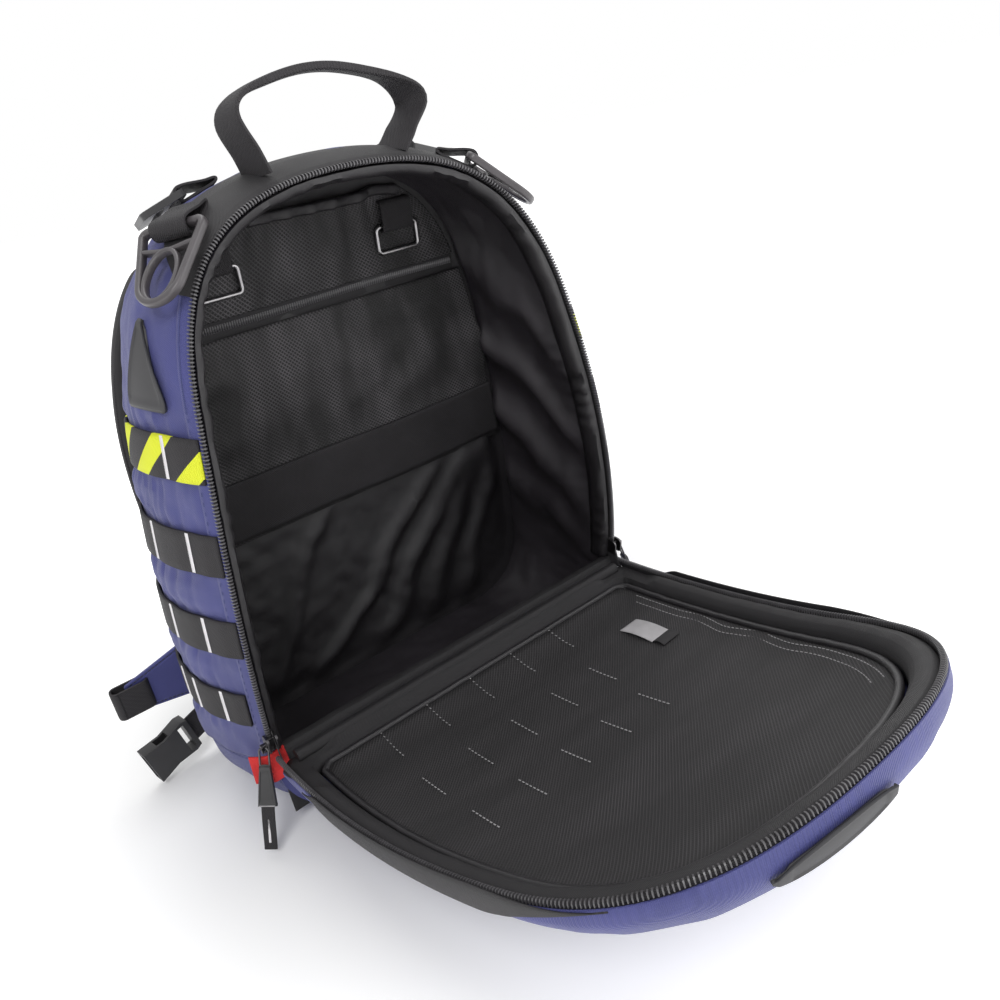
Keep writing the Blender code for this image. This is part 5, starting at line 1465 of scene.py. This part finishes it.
def build_harness():
    """Back pads, padded shoulder straps with bound edges, and what hangs below them."""
    for label, side in SIDES:
        middle = (side * (PAD_GAP + PAD_WIDE) / 2, PAD_FOOT + PAD_TALL / 2)
        outline = round_box(PAD_WIDE, PAD_TALL, 0.028, middle, 12, 160)

        def crown(share, flat):
            ribs = np.abs(np.sin(math.pi * (flat[..., 1] - PAD_FOOT) / 0.045))
            return SEAT + PAD_THICK * (1 - share**7) * (0.80 + 0.20 * ribs**0.5) + 0.0020

        pad = slab(f"back_pad_{label}", outline, middle, crown, SEAT, BACK, SPACER, rings=36)

        t = np.linspace(0, 1, 80)
        path = strap_line(t) * (side, 1, 1)
        wide = 0.058 * (1 - 0.25 * t**3)
        name = f"shoulder_strap_{label}"
        pad = strap(name, place(path, BACK), BACK_AXES[0], wide, 0.012, TAPE, sides=28, power=3.2)
        for end, way in (("in", -1), ("out", 1)):
            edge = path + join(way * wide / 2 * 0.985, 0, 0)
            name = f"strap_edge_{end}_{label}"
            strap(name, place(edge, BACK), BACK_AXES[1], 0.0060, 0.0024, WEBBING, power=3.0)
        lower_harness(label, side)


def lower_harness(label, side):
    """The anchor wing on the back edge, the strap's lower webbing, and the hip strap."""
    root, tip = FOOT_HALF - WING_ROOT, FOOT_HALF - WING_ROOT + WING_LONG
    corners = [(root, 0.052), (root, 0.112), (tip, WING_Z + WEB / 2), (tip, WING_Z - WEB / 2)]
    corners = np.array(corners) * (side, 1)
    outline = resample(corners, 120, closed=True)
    middle = corners.mean(axis=0)

    def face(way):
        def made(share, _):
            hem = 0.0007 * ridge(share - 0.90, 0.035)
            return SEAT + 0.0015 + way * (0.0015 - hem - 0.0006 * ease(0.95, 1.0, share))

        return made

    slab(f"anchor_wing_{label}", outline, middle, face(1), face(-1), BACK, NAVY, rings=22)
    inside = middle + (outline - middle) * 0.90
    seam = np.vstack([inside, inside[:1]])
    for name, way in (("front", -1), ("rear", 1)):
        y = SEAT + 0.0015 + way * 0.0010
        path = place(join(seam[:, 0], y, seam[:, 1]), BACK)
        stitch_line(f"wing_seam_{name}_{label}", path, BACK_AXES[1] * way, 0.0030, DARK_THREAD)

    flat = round_box(0.026, 0.0084, 0.0038, (tip - 0.003, SEAT + 0.0015), 8, 60)
    path = place(join(flat[:, 0] * side, flat[:, 1], WING_Z), BACK)
    web(f"wing_loop_{label}", path, BACK_AXES[2], closed=True)

    foot = strap_line(np.array([1.0]))[0]
    lie = SEAT + 0.003 + 0.0003 + WEB_THICK / 2
    path = np.array([
        (foot[0], lie, foot[2] - 2 * WEB_THICK), (foot[0], lie, 0.129 - 0.027),
        (foot[0] + WEB * 0.3, lie, WING_Z + WEB * 0.4), (tip - WEB * 0.2, lie, WING_Z),
    ]) * (side, 1, 1)
    path = smooth(path, 60)
    across = np.cross(np.gradient(path, axis=0), (0, 1, 0))
    web(f"strap_webbing_{label}", place(path, BACK), across @ BACK_AXES, WEB * 0.9)

    start = np.array((side * root, SEAT + WEB_THICK, 0.034))
    end = np.array((side * (FOOT_HALF + 0.021), SEAT + WEB_THICK - 0.006, 0.030))
    mid = (start + end) / 2 + (0, 0.0018, WEB_THICK)
    path = smooth([start, mid, end], 40)
    web(f"hip_strap_{label}", place(path, BACK), BACK_AXES[2])


WING_ROOT, WING_LONG, WING_Z = 0.020, 0.072, 0.078
STRAP_HALF_TOP, STRAP_HALF_FOOT, STRAP_TOP, STRAP_TALL = 0.080, FOOT_HALF - 0.029, 0.365, 0.230


def build_sill():
    """The navy front below the hinge, its lining, the gores beside it, and the roll of the hinge."""
    corner = RING[len(ARCH):]
    top = HINGE_Z - CHAIN_GAP
    outline = resample(np.vstack([corner, [(-FOOT_HALF, top), (FOOT_HALF, top)]]), 200, closed=True)
    outline[:, 1] = np.maximum(outline[:, 1], 0.0)
    y0, y1 = Y_RIM + CHAIN_GAP, Y_RIM + ZIP_TAPE

    def outer(share, flat):
        fold = 0.0004 * cloud(flat[..., 0], flat[..., 1], 0.03, 91.0)
        return y0 + 0.0010 * ease(0.96, 1.0, share) + fold

    slab("front_sill", outline, (0, 0.035), y1 - 0.0003, outer, Matrix.Identity(4), NAVY, rings=24)

    x = np.linspace(-FOOT_HALF + 0.004, FOOT_HALF - 0.004, 160)
    fold = 0.0008 * cloud(x, 0, 0.03, 92.0)
    profile = (
        (y0 - 0.0010, top - 0.012), (y0 - 0.0014, top - 0.002), (y0 + 0.0004, top + 0.0012),
        (y1 - 0.001, top + 0.0016), (y1 + 0.0020, top - 0.001), (y1 + 0.0028, top - 0.020),
        (y1 + 0.0030, 0.012),
    )
    rows = [join(x, y + fold, z + fold * 0.5) for y, z in profile]
    sheet("sill_lining", np.stack(rows, axis=1), THIN_CLOTH, TAPE, away=np.array((0, (y0 + y1) / 2, 0.03)))
    back = np.linspace(0, 1, 9)[None, :]
    for label, side in SIDES:
        up = np.linspace(0, 1, 14)[:, None]
        z = HINGE_Z - GORE_DROP + GORE_TALL * up
        deep = -0.0090 * (1 - up) * (1 - back) + 0.0120 * back
        x = side * (FOOT_HALF - 0.0034 - 0.0010 * np.sin(math.pi * back))
        grid = join(x, Y_RIM + deep - bow(z - HINGE_Z), z)
        sheet(f"hinge_gore_{label}", grid, 0.0007, TAPE)
    x = np.linspace(-FOOT_HALF + 0.012, FOOT_HALF - 0.012, 120)
    path = join(x, 0.0004 * cloud(x, 0, 0.02, 93.0) - ROLL_IN, LID_START + ROLL_IN)
    strap("hinge_roll", place(path, LID), LID_AXES[1], 0.0085, 0.0100, TAPE, sides=16, power=2.2, body="lid")


GORE_DROP, GORE_TALL, ROLL_IN = 0.008, 0.026, 0.0062


# Stage


def build_stage():
    """Floor, white surroundings, lamps and camera."""
    scene = bpy.context.scene
    scene.view_settings.view_transform = "Standard"
    mesh = bpy.data.meshes.new("floor")
    square = ((-1, -1), (1, -1), (1, 1), (-1, 1))
    mesh.from_pydata([(x * FLOOR_HALF, y * FLOOR_HALF, 0) for x, y in square], [], [(0, 1, 2, 3)])
    ground = new_object("floor", mesh)
    ground.location.z = -FLOOR_GAP
    matt = {"Specular IOR Level": 0.0, "Emission Color": WHITE}
    pale = Finish("pale_floor", None, (0.93, 0.93, 0.93), 0.9, **matt)
    mesh.materials.append(pale.material)
    reach = pale.add("VectorMath", {0: pale.add("TexCoord", pick="Object")}, "Value", operation="LENGTH")
    near, far = FLOOR_FADE
    fade = pale.add("MapRange", {0: reach, 1: near, 2: far}, interpolation_type="SMOOTHSTEP")
    pale.fill(pale.shader, {"Emission Strength": fade})

    scene.world = bpy.data.worlds.new("studio")
    scene.world.use_nodes = True
    sky = Nodes(scene.world.node_tree)
    rays = sky.tree.nodes.new("ShaderNodeLightPath").outputs
    mirrored = sky.math("MAXIMUM", rays["Is Transmission Ray"], rays["Is Glossy Ray"])
    seen = sky.math("MAXIMUM", rays["Is Camera Ray"], mirrored)
    strength = sky.add("MapRange", {0: seen, 3: WORLD_LIGHT, 4: 1.0})
    sky.fill(sky.tree.nodes["Background"], {"Color": WHITE, "Strength": strength})

    for name, spot, size, power in LAMPS:
        data = bpy.data.lights.new(name, "AREA")
        data.shape = "DISK"
        data.size = size
        data.energy = power
        lamp = new_object(name, data)
        lamp.location = spot
        lamp.rotation_euler = (LAMP_AIM - Vector(spot)).to_track_quat("-Z", "Y").to_euler()

    data = bpy.data.cameras.new("camera")
    data.lens = CAMERA_LENS
    data.sensor_width = 36.0
    data.clip_start = 0.01
    level = math.cos(CAMERA_ELEVATION)
    right = Vector((math.cos(CAMERA_AZIMUTH), math.sin(CAMERA_AZIMUTH), 0))
    back = Vector((right.y * level, -right.x * level, math.sin(CAMERA_ELEVATION)))
    turned = frame_of(right, back.cross(right), back, CAMERA_PLACE)
    scene.camera = new_object("camera", data)
    scene.camera.matrix_world = turned @ Matrix.Rotation(CAMERA_ROLL, 4, "Z")


WHITE = 1.0, 1.0, 1.0, 1.0
WORLD_LIGHT = 0.36
FLOOR_HALF, FLOOR_GAP = 40.0, 0.0005
LAMP_AIM = Vector((0, -0.1, 0.2))
FLOOR_FADE = 0.12, 0.62
LAMPS = (
    ("key", (-1.3, -1.9, 2.3), 1.4, 42.0),
    ("fill", (1.6, -1.7, 1.0), 1.8, 20.0),
    ("top", (0.2, 0.6, 2.6), 2.0, 24.0),
    ("low", (0.5, -2.2, 0.30), 1.2, 2.5),
)


build_stage()
build_body()
build_lining()
zip_half("body_zip", 1, Matrix.Translation((0, Y_RIM, HINGE_Z)), "pack")
zip_half("lid_zip", -1, LID, "lid")
build_lid()
build_lid_flap()
build_lid_marks()
build_lid_trim()
build_sill()
build_rows()
build_patch()
build_hardware()
build_handle()
build_back_wall()
build_pocket()
build_upper_mesh()
build_band()
build_pocket_zip()
for label, side in SIDES:
    inner_ring(label, side)
for label, _ in SIDES:
    zip_pull(label)
build_tab()
build_harness()
